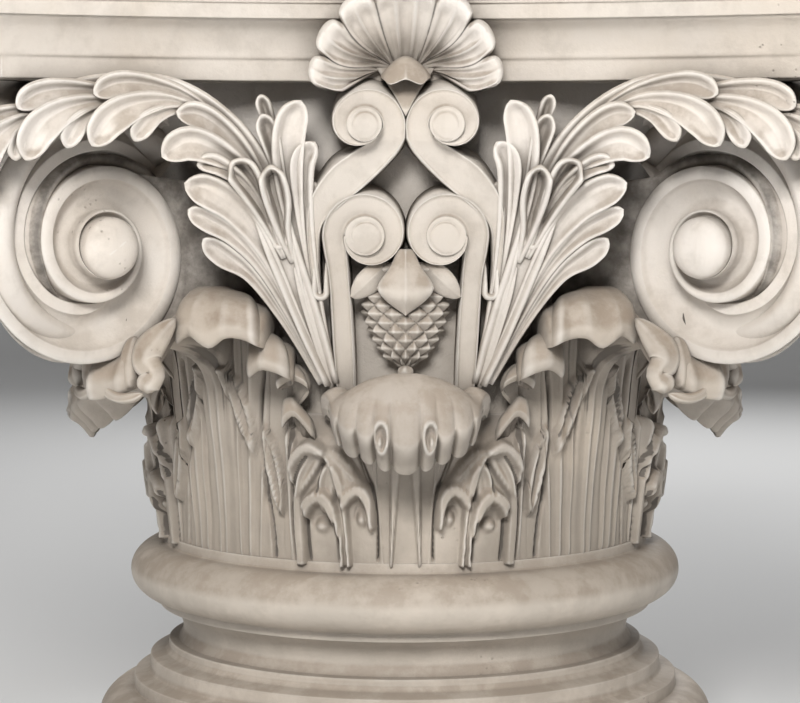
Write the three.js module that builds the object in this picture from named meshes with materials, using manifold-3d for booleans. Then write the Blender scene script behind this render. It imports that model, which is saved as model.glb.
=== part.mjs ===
// A Corinthian capital standing on its own round moulded foot, cast in stone.
// Foot: plinth disc, lower torus, steps, scotia, fillet, upper torus and collar. Capital: bell, two rows of
// acanthus, stalks with foliage sprays, four pairs of corner volutes, inner scrolls, shells and abacus.
// +Z is up, the origin is the centre of the underside, and the front face looks along -Y.

import * as THREE from 'three';
import { mergeVertices } from 'three/addons/utils/BufferGeometryUtils.js';
import Module from 'manifold-3d';

const wasm = await Module();
wasm.setup();

// ---- Driving dimensions ---------------------------------------------------------------------------------
// As in a drawing of an order, sizes are in parts: the collar that the leaves stand on is 482 parts across.

const MM_PER_PART = 0.7;
const FACES = 4; // the capital has four equal faces
const QUARTER = Math.PI / 2;
const DEGREE = Math.PI / 180;

const plinth = { radius: 298, height: 14 };
const lowerTorus = { radius: 276, reach: 32, halfHeight: 34 };
const step = {
  lowRadius: 272, lowTop: 94, highRadius: 255.6, highTop: 113, filletRadius: 237, filletTop: 128,
};
const scotia = { waist: 222, lip: 238, top: 164 };
const upperTorus = { fillet: 246, radius: 243.6, reach: 31, halfHeight: 27, centre: 199 };
const collar = { radius: 241, top: 236 };
const bedJoint = 0.45; // hairline joint between foot and capital

const bell = { foot: 228, middle: 238, neck: 252, squareTop: 250, cornerLimit: 372 };
const abacus = {
  bottom: 672, bandTop: 692, coveTop: 724, filletTop: 738, top: 766,
  middle: 280, // distance of the middle of a side from the axis
  hornAlong: 342, hornOut: 374, // end of the concave side, along the face and out from the axis
  cove: 12, fillet: 29, ovolo: 43, // how far each moulding oversails the band
};
const volute = {
  eyeX: 271.6, eyeOut: 293.2, eyeHeight: 526, turnIn: 37 * DEGREE,
  eyeRadius: 27, outerRadius: 141, windings: 920 * DEGREE, tightening: 1.9,
  rim: 12, sink: 9, rise: 20, dome: 12, perTurn: 12, steps: 22,
};
const ground = { foot: 236, waist: 14, crown: 25, corner: 85, reach: 300 };
const leafForm = { foot: 236, stem: 250, hidden: 215, thickness: 13 };

// Rays of a leaf, from its midrib to its edge. Each has its azimuth at the foot and at the lip in degrees,
// how far it reaches from the axis, the height of its crest and the height its lip hangs down to.
const cornerLeafRays = [
  { share: 0, foot: 0, tip: 0, reach: 396, crest: 479, lip: 392 },
  { share: 0.25, foot: 4.6, tip: 6.9, reach: 378, crest: 477, lip: 404 },
  { share: 0.5, foot: 9, tip: 14, reach: 338, crest: 474, lip: 432 },
  { share: 0.6, foot: 11, tip: 15.8, reach: 298, crest: 436, lip: 410 },
  { share: 0.75, foot: 14.2, tip: 19.5, reach: 306, crest: 442, lip: 412 },
  { share: 0.84, foot: 16.6, tip: 22.4, reach: 278, crest: 378, lip: 356 },
  { share: 1, foot: 19.5, tip: 27.8, reach: 268, crest: 358, lip: 338 },
];
const centreLeafRays = [
  { share: 0, foot: 0, tip: 0, reach: 337, crest: 415, lip: 331 },
  { share: 0.5, foot: 3.3, tip: 7.4, reach: 334, crest: 411, lip: 342 },
  { share: 0.85, foot: 5.8, tip: 12.8, reach: 320, crest: 402, lip: 356 },
  { share: 1, foot: 6.8, tip: 16, reach: 298, crest: 393, lip: 368 },
];

// ---- Closed meshes --------------------------------------------------------------------------------------

function meshOf(vertices, triangles) {
  const geometry = new THREE.BufferGeometry();
  const numbers = vertices.flatMap((v) => [v.x, v.y, v.z]);
  geometry.setAttribute('position', new THREE.Float32BufferAttribute(numbers, 3));
  geometry.setIndex(triangles.flat());
  return geometry;
}

// A closed mesh as a manifold solid, turned right side out.
function solidFrom(source) {
  const geometry = source.clone();
  geometry.deleteAttribute('normal');
  geometry.deleteAttribute('uv');
  const merged = mergeVertices(geometry, 1e-3);
  const place = merged.attributes.position;
  const index = Array.from(merged.index.array);
  const corner = (i) => new THREE.Vector3().fromBufferAttribute(place, i);
  const triangles = [];
  let volume = 0;
  for (let i = 0; i < index.length; i += 3) {
    const [a, b, c] = index.slice(i, i + 3);
    volume += corner(a).dot(corner(b).cross(corner(c)));
    if (a !== b && b !== c && c !== a) triangles.push(a, b, c);
  }
  if (volume < 0) triangles.reverse();
  return new wasm.Manifold(new wasm.Mesh({
    numProp: 3, vertProperties: new Float32Array(place.array), triVerts: new Uint32Array(triangles),
  }));
}

function joined(geometries) {
  return geometries.map(solidFrom).reduce((whole, solid) => whole.add(solid));
}

const turned = (geometry, quarters) => geometry.clone().rotateZ(quarters * QUARTER);
const mirrored = (geometry) => geometry.clone().scale(-1, 1, 1);
const smooth = (low, high, x) => THREE.MathUtils.smoothstep(x, low, high);
const mix = THREE.MathUtils.lerp;

function middleOf(points) {
  return points.reduce((sum, p) => sum.add(p), new THREE.Vector3()).divideScalar(points.length);
}

// A solid through rings of points. Both ends are closed by a fan, and the last ring may be a single point.
function loft(rings) {
  const sides = rings[0].length;
  const body = rings.filter((ring) => ring.length === sides);
  const tip = rings.length > body.length ? rings.at(-1)[0] : middleOf(body.at(-1));
  const vertices = [...body.flat(), middleOf(body[0]), tip];
  const [first, last] = [vertices.length - 2, vertices.length - 1];
  const end = (body.length - 1) * sides;
  const triangles = [];
  for (let k = 0; k < sides; k++) {
    const next = (k + 1) % sides;
    triangles.push([first, next, k], [last, end + k, end + next]);
    for (let i = 0; i < end; i += sides) {
      triangles.push([i + k, i + next, i + sides + next], [i + k, i + sides + next, i + sides + k]);
    }
  }
  return meshOf(vertices, triangles);
}

// A point at an azimuth from the front, a radius and a height.
function polar(azimuth, radius, height) {
  return new THREE.Vector3(radius * Math.sin(azimuth), -radius * Math.cos(azimuth), height);
}

// Part of an elliptical moulding, between two angles in degrees.
function bulge(radius, height, reach, rise, from, to, steps) {
  return Array.from({ length: steps + 1 }, (_, i) => {
    const angle = mix(from, to, i / steps) * DEGREE;
    return [radius + reach * Math.cos(angle), height + rise * Math.sin(angle)];
  });
}

// ---- Foot, bell and abacus ------------------------------------------------------------------------------

function mouldedFoot() {
  const [low, high] = [lowerTorus, upperTorus];
  const profile = [
    [0, 0], [plinth.radius, 0], [plinth.radius, plinth.height],
    ...bulge(low.radius, plinth.height + low.halfHeight, low.reach, low.halfHeight, -66, 84, 5),
    [step.lowRadius, step.lowTop], [step.highRadius, step.lowTop + 6], [step.highRadius, step.highTop],
    [step.filletRadius, step.highTop + 4], [step.filletRadius, step.filletTop],
    [scotia.waist + 5, step.filletTop], [scotia.waist, step.filletTop + 12], [scotia.lip, scotia.top],
    [high.fillet, scotia.top], [high.fillet, scotia.top + 8],
    ...bulge(high.radius, high.centre, high.reach, high.halfHeight, -66, 86, 4),
    [collar.radius, high.centre + high.halfHeight + 1], [collar.radius, collar.top], [0, collar.top],
  ];
  const points = profile.map(([radius, height]) => new THREE.Vector2(radius, height));
  return new THREE.LatheGeometry(points, 28).rotateX(QUARTER);
}

// The bell is round at its foot and turns squarer upwards, where it backs the foliage and the volutes.
function bellBody() {
  const levels = [[226, bell.foot], [430, bell.middle], [590, bell.neck], [abacus.bottom + 4, bell.neck]];
  return loft(levels.map(([height, radius]) => Array.from({ length: 16 }, (_, i) => {
    const azimuth = (i * Math.PI) / 8;
    const offFace = Math.abs(((azimuth + QUARTER / 2) % QUARTER) - QUARTER / 2);
    const square = Math.min(bell.squareTop / Math.cos(offFace) ** 1.3, bell.cornerLimit);
    return polar(azimuth, mix(radius, square, smooth(430, 590, height)), height);
  })));
}

// Plan of the abacus, grown outwards by an offset: four concave sides between cut horns.
function abacusPlan(offset, height) {
  const ring = [];
  const perSide = 5;
  for (let face = 0; face < FACES; face++) {
    for (let i = 0; i <= perSide; i++) {
      const across = -1 + (2 * i) / perSide;
      const along = across * (abacus.hornAlong + 0.5 * offset);
      const out = mix(abacus.middle + offset, abacus.hornOut + 0.9 * offset, across * across);
      const corner = new THREE.Vector2(along, -out).rotateAround(new THREE.Vector2(), face * QUARTER);
      ring.push(new THREE.Vector3(corner.x, corner.y, height));
    }
  }
  return ring;
}

function abacusSlab() {
  const { bottom, bandTop, coveTop, filletTop, top, cove, fillet, ovolo } = abacus;
  const levels = [[0, bottom], [0, bandTop], [cove, mix(bandTop, coveTop, 0.65)], [fillet, coveTop],
    [fillet, filletTop], [ovolo, filletTop + 12], [ovolo, top + 10]];
  return loft(levels.map(([offset, height]) => abacusPlan(offset, height)));
}

// ---- Acanthus leaves ------------------------------------------------------------------------------------

// Section of a leaf along one ray, as corners of azimuth share, radius, height and share of the relief: up
// the stem, out under the curl to the lip, over the crest and back down inside the bell.
function leafSection({ reach, crest, lip }) {
  const { foot, stem, hidden, thickness } = leafForm;
  const spread = reach - stem;
  const climb = crest - collar.top;
  const wall = Math.min(thickness, 0.4 * spread);
  return [
    [0, foot, collar.top - 8, 0], [0.6, stem, mix(lip, crest, 0.25), 0],
    [1, reach - wall - 4, lip, 0], [1, reach - 4, lip, 1], [1, reach, mix(lip, crest, 0.35), 1],
    [0.95, stem + 0.85 * spread, mix(lip, crest, 0.8), 0.8], [0.85, stem + 0.5 * spread, crest, 0.4],
    [0.7, stem + 0.15 * spread, crest - 0.12 * climb, 0], [0.6, hidden, crest - 0.16 * climb, 0],
    [0, hidden, collar.top - 8, 0],
  ];
}

// The ray at a share of the leaf's half width, between its two neighbours in the list.
function rayAt(rays, share) {
  const upper = Math.max(1, rays.findIndex((ray) => ray.share >= share));
  const [a, b] = [rays[upper - 1], rays[upper]];
  const blend = (share - a.share) / (b.share - a.share);
  return Object.fromEntries(Object.keys(a).map((key) => [key, mix(a[key], b[key], blend)]));
}

// shares are the columns across half of the leaf, and relief sinks or swells the curl at each of them.
function leaf(rays, middle, shares, relief) {
  const columns = [...shares.slice(1).reverse().map((s) => -s), ...shares];
  return loft(columns.map((s) => {
    const ray = rayAt(rays, Math.abs(s));
    const swell = relief[shares.indexOf(Math.abs(s))];
    return leafSection(ray).map(([turn, radius, height, part]) => {
      const azimuth = middle + Math.sign(s) * mix(ray.foot, ray.tip, turn);
      return polar(azimuth * DEGREE, radius + swell * part, height);
    });
  }));
}

function cornerLeaf() {
  return leaf(cornerLeafRays, 45, [0, 0.14, 0.5, 0.6, 0.75, 0.84, 1], [6, 0, 0, 0, 0, 0, 0]);
}

function centreLeaf() {
  return leaf(centreLeafRays, 0, [0, 0.16, 0.33, 0.49, 0.65, 0.82, 1], [0, -10, 0, -10, 0, -9, -2]);
}

// ---- Foliage and stalks on the face ---------------------------------------------------------------------
// The ornament of a face is laid out as seen from the front: x along the face, z up, and a lift off the
// carved ground, which follows the bell in the middle and comes forward to the corners.

function facePoint(x, z, lift) {
  const { foot, waist, corner, reach, crown } = ground;
  const round = foot + waist * smooth(foot, 340, z) + crown * smooth(450, 650, z);
  return new THREE.Vector3(x, -(round + corner * (Math.abs(x) / reach) ** 1.6 + lift), z);
}

// A pointed leaflet from base over bend to tip: a ridge with two edges that sink into the ground.
function leaflet([base, bend, tip], width, lift) {
  const curve = new THREE.QuadraticBezierCurve(
    new THREE.Vector2(...base), new THREE.Vector2(...bend), new THREE.Vector2(...tip));
  const ring = (t) => {
    const p = curve.getPoint(t);
    const across = curve.getTangent(t).rotateAround(new THREE.Vector2(), QUARTER);
    const half = 0.5 * width * Math.sin(Math.PI * mix(0.2, 0.8, t));
    return [
      facePoint(p.x + across.x * half, p.y + across.y * half, lift - 26),
      facePoint(p.x, p.y, lift + 8),
      facePoint(p.x - across.x * half, p.y - across.y * half, lift - 26),
    ];
  };
  return loft([ring(0), ring(0.35), ring(0.7), [facePoint(tip[0], tip[1], lift - 4)]]);
}

// A flat band through points of x, z, lift and width, square in section.
function band(points, depth, steps) {
  const route = new THREE.CatmullRomCurve3(points.map(([x, z, lift]) => new THREE.Vector3(x, z, lift)));
  const widths = new THREE.CatmullRomCurve3(points.map((p) => new THREE.Vector3(p[3], 0, 0)));
  return loft(Array.from({ length: steps + 1 }, (_, i) => {
    const t = i / steps;
    const p = route.getPoint(t);
    const along = route.getTangent(t);
    const across = new THREE.Vector2(-along.y, along.x).setLength(0.5 * widths.getPoint(t).x);
    return [[1, 0], [-1, 0], [-1, depth], [1, depth]].map(([side, sunk]) => (
      facePoint(p.x + side * across.x, p.y + side * across.y, p.z - sunk)));
  }));
}

// Right half of a face: the stalk with the frond that swings out under the abacus, four leaflets on them,
// and the small leaf that stands at the foot of the bell.
function spray() {
  return [
    band([[66, 400, 4, 24], [92, 500, 10, 44], [128, 590, 12, 46], [190, 646, 14, 42], [262, 662, 10, 34],
      [336, 640, 0, 18]], 36, 5),
    leaflet([[150, 620], [194, 630], [208, 590]], 46, 22),
    leaflet([[84, 440], [126, 548], [192, 560]], 56, 14),
    leaflet([[92, 500], [94, 600], [98, 662]], 52, 18),
    leaflet([[66, 226], [72, 290], [76, 352]], 58, -16),
  ];
}

// ---- Scrolls --------------------------------------------------------------------------------------------

// A coiled end seen from the front: a round rim, a dished face and a boss in the middle.
function scrollEnd(x, z, radius, lift) {
  const { y } = facePoint(x, z, lift);
  const ring = (size, back) => Array.from({ length: 7 }, (_, i) => {
    const angle = (i * 2 * Math.PI) / 7;
    return new THREE.Vector3(x + size * Math.cos(angle), y + back, z + size * Math.sin(angle));
  });
  return loft([ring(radius, 40), ring(radius, 0), ring(0.45 * radius, 9), [new THREE.Vector3(x, y - 8, z)]]);
}

// Inner scrolls of the right half. One rises straight and coils beside the axis. The other crosses from
// the stalk to the axis and coils outwards above it.
function innerScrolls() {
  return [
    band([[62, 385, 16, 22], [61, 460, 16, 22], [60, 540, 20, 20]], 34, 1),
    scrollEnd(36, 537, 35, 26),
    band([[70, 470, 10, 20], [77, 545, 18, 22], [56, 590, 20, 22], [16, 618, 20, 22]], 36, 3),
    scrollEnd(37, 636, 32, 32),
  ];
}

function windingRadius(angle) {
  const left = Math.max(0, 1 - angle / volute.windings);
  return mix(volute.eyeRadius, volute.outerRadius, left ** volute.tightening);
}

// The two volutes of a corner in one closed mesh: the right volute of a face, its mirror image on the next
// face, and the wedge between their outlines. Radial columns of points follow the spiral: outer edge and
// inner edge of the rim, then the foot of the channel against the next turn or the eye.
function cornerVolutes() {
  const { turnIn, perTurn, steps, dome } = volute;
  const eye = new THREE.Vector3(volute.eyeX, -volute.eyeOut, volute.eyeHeight);
  const out = new THREE.Vector3(Math.cos(turnIn), -Math.sin(turnIn), 0);
  const normal = new THREE.Vector3(-Math.sin(turnIn), -Math.cos(turnIn), 0);
  const place = (angle, radius, height) => eye.clone()
    .addScaledVector(out, radius * Math.sin(angle))
    .addScaledVector(normal, height)
    .add(new THREE.Vector3(0, 0, radius * Math.cos(angle)));
  const vertices = [];
  const add = (point) => vertices.push(point) - 1;
  const angleOf = (k) => (k * 2 * Math.PI) / perTurn;
  const lift = (k) => volute.rise * smooth(perTurn / 4, steps, k);

  const column = Array.from({ length: steps + 1 }, (_, k) => {
    const [radius, next] = [windingRadius(angleOf(k)), windingRadius(angleOf(k + perTurn))];
    const rim = Math.min(volute.rim, 0.45 * (radius - next));
    return {
      edge: add(place(angleOf(k), radius, lift(k))),
      inner: add(place(angleOf(k), radius - rim, lift(k))),
      foot: add(place(angleOf(k), next, lift(k) - volute.sink)),
    };
  });
  const ring = (radius, height) => Array.from({ length: perTurn }, (_, k) => (
    add(place(angleOf(k), radius, height))));
  const rise = ring(volute.eyeRadius, volute.rise + 2);
  const crown = ring(0.66 * volute.eyeRadius, volute.rise + dome);
  const pole = add(place(0, 0, volute.rise + dome + 4));

  const face = [];
  const quad = (list, a, b, c, d) => list.push([a, b, c], [a, c, d]);
  const lastTurn = steps - perTurn;
  for (let k = 0; k < steps; k++) {
    const [here, after] = [column[k], column[k + 1]];
    const wall = k < lastTurn
      ? [column[k + perTurn].edge, column[k + 1 + perTurn].edge]
      : [rise[k % perTurn], rise[(k + 1) % perTurn]];
    quad(face, here.edge, here.inner, after.inner, after.edge);
    quad(face, here.inner, here.foot, after.foot, after.inner);
    quad(face, here.foot, wall[0], wall[1], after.foot);
  }
  for (let k = 0; k < perTurn; k++) {
    const next = (k + 1) % perTurn;
    quad(face, rise[k], crown[k], crown[next], rise[next]);
    face.push([crown[k], pole, crown[next]]);
  }
  const [turnEnd, end] = [column[lastTurn], column[steps]];
  face.push([turnEnd.foot, end.edge, end.inner], [turnEnd.foot, end.inner, end.foot],
    [turnEnd.foot, end.foot, rise[lastTurn % perTurn]]);

  const mate = (i) => i + vertices.length / 2;
  const outline = column.slice(0, perTurn + 1).map(({ edge }) => edge);
  outline.push(column[0].foot, column[0].inner);
  vertices.push(...vertices.map(({ x, y, z }) => new THREE.Vector3(-y, -x, z)));
  const wedge = [];
  outline.forEach((here, i) => {
    const after = outline[(i + 1) % outline.length];
    quad(wedge, here, after, mate(after), mate(here));
  });
  const other = face.map(([a, b, c]) => [mate(a), mate(c), mate(b)]);
  return meshOf(vertices, [...face, ...other, ...wedge]);
}

// ---- Middle of a face -----------------------------------------------------------------------------------

// The shell over the middle of the abacus: flutes fan out from its root, and its rim curls forward.
function shell() {
  const root = { height: 664, depth: 316 };
  const fan = (reach, depth) => Array.from({ length: 13 }, (_, j) => {
    const angle = mix(4, 176, j / 12) * DEGREE;
    const crease = j % 2 ? 1 : 0.9;
    const radius = reach * crease * (1 + 0.1 * Math.sin(angle));
    const ridge = j % 2 ? 0 : 5;
    const [along, up] = [radius * Math.cos(angle), radius * Math.sin(angle)];
    return new THREE.Vector3(along, -depth - ridge, root.height + up);
  });
  const nose = [[20, -20], [22, 14], [12, 34]].map(([size, lift]) => Array.from({ length: 6 }, (_, i) => {
    const angle = (i * Math.PI) / 3;
    const [across, up] = [1.3 * size * Math.cos(angle), 14 + size * Math.sin(angle)];
    return new THREE.Vector3(across, -(root.depth + lift), root.height + up);
  }));
  const centre = new THREE.Vector3(0, -root.depth - 4, root.height);
  return [loft([fan(88, 262), fan(94, root.depth + 14), fan(52, root.depth - 2), [centre]]), loft(nose)];
}

// The fir cone that hangs under the scrolls, with its cap leaf.
function fruit() {
  const cone = [[416, 4, 262], [432, 20, 258], [468, 34, 256], [500, 24, 256]];
  return [
    loft(cone.map(([height, radius, depth]) => Array.from({ length: 6 }, (_, i) => {
      const angle = (i * Math.PI) / 3;
      return new THREE.Vector3(radius * Math.cos(angle), -(depth + radius * 0.8 * Math.sin(angle)), height);
    }))),
    leaflet([[0, 524], [0, 500], [0, 462]], 64, 34),
  ];
}

// ---- Assembly -------------------------------------------------------------------------------------------

function capital() {
  const half = [...spray(), ...innerScrolls()];
  const middle = [centreLeaf(), ...shell(), ...fruit()];
  const face = [...half, ...half.map(mirrored), ...middle, cornerVolutes(), cornerLeaf()];
  const faces = Array.from({ length: FACES }, (_, i) => face.map((piece) => turned(piece, i))).flat();
  const [seat, height] = [collar.top + bedJoint, abacus.top - collar.top - bedJoint];
  const room = new THREE.BoxGeometry(1200, 1200, height).translate(0, 0, seat + height / 2);
  return joined([bellBody(), abacusSlab(), ...faces]).intersect(solidFrom(room));
}

function namedMesh(solid, name, material) {
  const { vertProperties, triVerts } = solid.getMesh();
  const geometry = new THREE.BufferGeometry();
  geometry.setAttribute('position', new THREE.BufferAttribute(new Float32Array(vertProperties), 3));
  geometry.setIndex(new THREE.BufferAttribute(new Uint32Array(triVerts), 1));
  geometry.scale(MM_PER_PART, MM_PER_PART, MM_PER_PART);
  const mesh = new THREE.Mesh(geometry, material);
  mesh.name = name;
  return mesh;
}

const castStone = new THREE.MeshStandardMaterial({ color: 0xd6cfc4, roughness: 0.75, metalness: 0 });
const model = new THREE.Group();
model.add(namedMesh(solidFrom(mouldedFoot()), 'moulded_foot', castStone));
model.add(namedMesh(capital(), 'capital', castStone));

export default model;
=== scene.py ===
# %% [markdown]
# A Corinthian capital in cast stone
#
# This lesson dresses a capital that already exists as two plain solids: the capital itself and the round
# moulded foot that it stands on. The solids fix every size. The lesson adds what a carver or a plaster
# mould would give: leaves with rolled lips, spoon-shaped leaflets, coiled volutes, a shell and a fir cone.
# Each shape is a formula on a grid of points.

# %% Load the solids
import math

import bmesh
import bpy
import numpy as np
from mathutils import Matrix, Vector


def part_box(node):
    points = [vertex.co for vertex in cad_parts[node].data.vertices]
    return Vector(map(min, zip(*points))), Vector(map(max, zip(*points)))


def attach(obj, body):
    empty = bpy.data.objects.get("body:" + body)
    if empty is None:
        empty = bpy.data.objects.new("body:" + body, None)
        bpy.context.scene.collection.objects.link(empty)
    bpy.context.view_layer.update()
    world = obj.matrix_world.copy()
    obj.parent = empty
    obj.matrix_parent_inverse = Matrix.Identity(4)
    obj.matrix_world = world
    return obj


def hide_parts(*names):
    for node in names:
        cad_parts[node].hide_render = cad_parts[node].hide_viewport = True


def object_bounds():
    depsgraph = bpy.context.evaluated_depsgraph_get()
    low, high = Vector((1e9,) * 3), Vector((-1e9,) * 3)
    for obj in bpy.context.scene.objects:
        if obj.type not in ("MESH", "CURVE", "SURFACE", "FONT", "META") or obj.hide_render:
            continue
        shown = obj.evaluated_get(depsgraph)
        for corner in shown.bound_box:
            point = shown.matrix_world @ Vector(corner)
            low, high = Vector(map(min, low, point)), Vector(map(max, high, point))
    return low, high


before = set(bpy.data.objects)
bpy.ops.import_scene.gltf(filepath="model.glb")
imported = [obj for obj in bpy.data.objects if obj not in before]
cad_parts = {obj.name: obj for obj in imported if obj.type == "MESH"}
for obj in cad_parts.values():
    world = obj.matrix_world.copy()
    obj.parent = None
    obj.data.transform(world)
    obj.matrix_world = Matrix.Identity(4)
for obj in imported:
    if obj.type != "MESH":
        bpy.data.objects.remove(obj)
cad_low, cad_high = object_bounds()
foot_low, foot_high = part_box("moulded_foot")
capital_low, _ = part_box("capital")

# Architects draw an order in parts, and so does this lesson: the whole height is 766 parts.
PARTS_HIGH = 766
PART = (cad_high[2] - cad_low[2]) / PARTS_HIGH
print(f"one part is {PART * 1000:.3f} mm, the capital is {cad_high[2] - cad_low[2]:.3f} m high")

# %% [markdown]
# Camera, floor and light
#
# The camera comes first, because every later decision is judged through it. A long lens from three capital
# heights away keeps the columns upright and shows a little of the tops of the leaves. The light is one big
# soft panel above the camera, a weaker one on each side, and a pale surround, as in a small studio.
# Light from above the lens fills both volutes alike, and lets the undersides of the leaf lips go dark.

# %% Camera
VIEW_DISTANCE = 2500 * PART
VIEW_HEIGHT = 594 * PART
VIEW_WIDTH = 800 * PART  # what the lens takes in across, at the axis of the capital
LOOK_DOWN = math.radians(4.15)

camera_data = bpy.data.cameras.new("camera")
camera_data.sensor_fit = "HORIZONTAL"
camera_data.angle = 2 * math.atan(VIEW_WIDTH / 2 / VIEW_DISTANCE)
camera = bpy.data.objects.new("camera", camera_data)
camera.location = (-5 * PART, -VIEW_DISTANCE, VIEW_HEIGHT)
camera.rotation_euler = (math.pi / 2 - LOOK_DOWN, 0, 0)
bpy.context.collection.objects.link(camera)
bpy.context.scene.camera = camera
print(f"lens angle {math.degrees(camera_data.angle):.1f} degrees")


# %% Lights
bpy.context.scene.view_settings.view_transform = "Standard"


def soft_panel(name, place, aim, width, watts, colour=(1, 1, 1)):
    """A square area light that faces a point."""
    data = bpy.data.lights.new(name, "AREA")
    data.size = width
    data.energy = watts
    data.color = colour
    panel = bpy.data.objects.new(name, data)
    panel.location = place
    panel.rotation_euler = (Vector(aim) - Vector(place)).to_track_quat("-Z", "Y").to_euler()
    bpy.context.collection.objects.link(panel)


heart = (0, 0, 0.36)
soft_panel("key", (-0.2, -1.95, 1.3), heart, 0.5, 38, (1, 0.985, 0.96))
soft_panel("fill_left", (-2.0, -1.0, 0.9), heart, 1.0, 4.5, (0.97, 0.98, 1))
soft_panel("fill_right", (2.0, -1.0, 0.9), heart, 1.0, 4.5, (0.97, 0.98, 1))
soft_panel("back_light", (0.4, 2.2, 1.6), heart, 1.4, 26)

world = bpy.data.worlds.new("studio")
world.use_nodes = True
surround = world.node_tree.nodes["Background"]
surround.inputs["Color"].default_value = (0.86, 0.86, 0.87, 1)
surround.inputs["Strength"].default_value = 0.17
bpy.context.scene.world = world

# %% [markdown]
# Grids of points
#
# Everything below is a grid: rows run along the shape and columns run across it. One helper turns a grid
# into quads, another joins many grids into one mesh. The joined mesh is merged where points meet, so that
# seams and poles are closed, and its faces are turned to point outwards.


# %% Grid helpers
SAME_POINT = 0.02  # points of a grid that are nearer than this, in parts, are one point


def quads(rows, columns, wrap_rows=False, wrap_columns=False):
    """Corner numbers of all the quads of a grid, worked out as whole arrays."""
    i = np.arange(rows if wrap_rows else rows - 1)
    j = np.arange(columns if wrap_columns else columns - 1)
    i, j = np.meshgrid(i, j, indexing="ij")
    after_i, after_j = (i + 1) % rows, (j + 1) % columns
    corners = [i * columns + j, i * columns + after_j, after_i * columns + after_j, after_i * columns + j]
    return np.stack(corners, axis=-1).reshape(-1, 4)


def capped(rings):
    """Closed rings with both ends drawn together to a point, so that the tube becomes a closed shell."""
    first = np.broadcast_to(rings[:1].mean(axis=1, keepdims=True), rings[:1].shape)
    last = np.broadcast_to(rings[-1:].mean(axis=1, keepdims=True), rings[-1:].shape)
    return np.concatenate([first, rings, last])


def mesh_piece(name, grids, hollows=None, wrap_rows=False, wrap_columns=True):
    """One object from many grids of points in parts. hollows, 0 to 1, is how dark each point is painted:
    soiling and painted shade.
    """
    hollows = hollows or [np.zeros(g.shape[:2]) for g in grids]
    points = np.concatenate([g.reshape(-1, 3) for g in grids]) * PART
    starts = np.cumsum([0] + [g.shape[0] * g.shape[1] for g in grids])
    faces = np.concatenate([
        quads(g.shape[0], g.shape[1], wrap_rows, wrap_columns) + start for g, start in zip(grids, starts)])
    mesh = bpy.data.meshes.new(name)
    mesh.from_pydata(points.tolist(), [], faces.tolist())
    # The hollow attribute darkens the stone: soiling, and painted shade in hollows, creases and undersides.
    dirt_and_shade = mesh.attributes.new("hollow", "FLOAT", "POINT")
    dirt_and_shade.data.foreach_set("value", np.concatenate([h.reshape(-1) for h in hollows]).astype(np.float32))
    work = bmesh.new()
    work.from_mesh(mesh)
    bmesh.ops.remove_doubles(work, verts=work.verts, dist=SAME_POINT * PART)
    bmesh.ops.dissolve_degenerate(work, edges=work.edges, dist=1e-7)
    bmesh.ops.recalc_face_normals(work, faces=work.faces)
    work.to_mesh(mesh)
    work.free()
    mesh.polygons.foreach_set("use_smooth", np.ones(len(mesh.polygons), dtype=bool))
    mesh.update()
    piece = bpy.data.objects.new(name, mesh)
    bpy.context.collection.objects.link(piece)
    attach(piece, "root")
    mesh.calc_loop_triangles()
    print(f"{name}: {len(mesh.loop_triangles)} triangles")
    return piece


# %% [markdown]
# Curves, steps and copies
#
# A capital has four equal faces, and each face mirrors about its middle. So every ornament is worked out
# once for the right half of the front face, and then mirrored and turned. Smooth curves run through a few
# control points, and a control point may carry more than a place: its width or its lift rides along.


# %% Curves and copies
def smooth(low, high, x):
    """An even step from 0 at low to 1 at high with level ends: 3t squared minus 2t cubed."""
    t = np.clip((x - low) / (high - low), 0, 1)
    return t * t * (3 - 2 * t)


def mix(a, b, t):
    """The value a share t of the way from a to b."""
    return a + (b - a) * t


def through(points, places):
    """A smooth curve through control points on the last but one axis.

    places is how many even steps to take, or the places themselves, counted in control points. Each span is
    a cubic with the slopes of its neighbours (Catmull and Rom's rule).
    """
    p = np.asarray(points, dtype=float)
    before, after = 2 * p[..., :1, :] - p[..., 1:2, :], 2 * p[..., -1:, :] - p[..., -2:-1, :]
    padded = np.concatenate([before, p, after], axis=-2)
    place = np.linspace(0, p.shape[-2] - 1, places) if np.isscalar(places) else np.asarray(places)
    span = np.minimum(place.astype(int), p.shape[-2] - 2)
    t = (place - span)[:, None]
    a, b, c, d = (padded[..., span + k, :] for k in range(4))
    return 0.5 * (2 * b + (c - a) * t + (2 * a - 5 * b + 4 * c - d) * t**2 + (3 * b - a - 3 * c + d) * t**3)


def mirrored(points):
    """The same grid on the left half of the front face."""
    return points * np.array([-1, 1, 1])


def turned(points, quarters):
    """The same grid on another face, turned about the axis by quarter turns."""
    c, s = [(1, 0), (0, 1), (-1, 0), (0, -1)][quarters % 4]
    x, y, z = points[..., 0], points[..., 1], points[..., 2]
    return np.stack([c * x - s * y, s * x + c * y, z], axis=-1)


def on_faces(grids):
    """Four copies of each grid, one for each face."""
    return [turned(g, k) for k in range(4) for g in grids]


def on_halves(grids):
    """Eight copies of each grid: both halves of each face."""
    return on_faces([side(g) for g in grids for side in (np.array, mirrored)])


def dirt_and_shade_on_halves(dirt_and_shade_grids):
    """The painted darkening of the grids that on_halves gives, soiling and painted shade: twice for each
    grid, on four faces.
    """
    return [d for d in dirt_and_shade_grids for _ in range(2)] * 4


def polar(azimuth, radius, height):
    """Places from an azimuth in degrees from the front, a radius and a height."""
    a = np.radians(azimuth)
    return np.stack(np.broadcast_arrays(radius * np.sin(a), -radius * np.cos(a), height), axis=-1)


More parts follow.
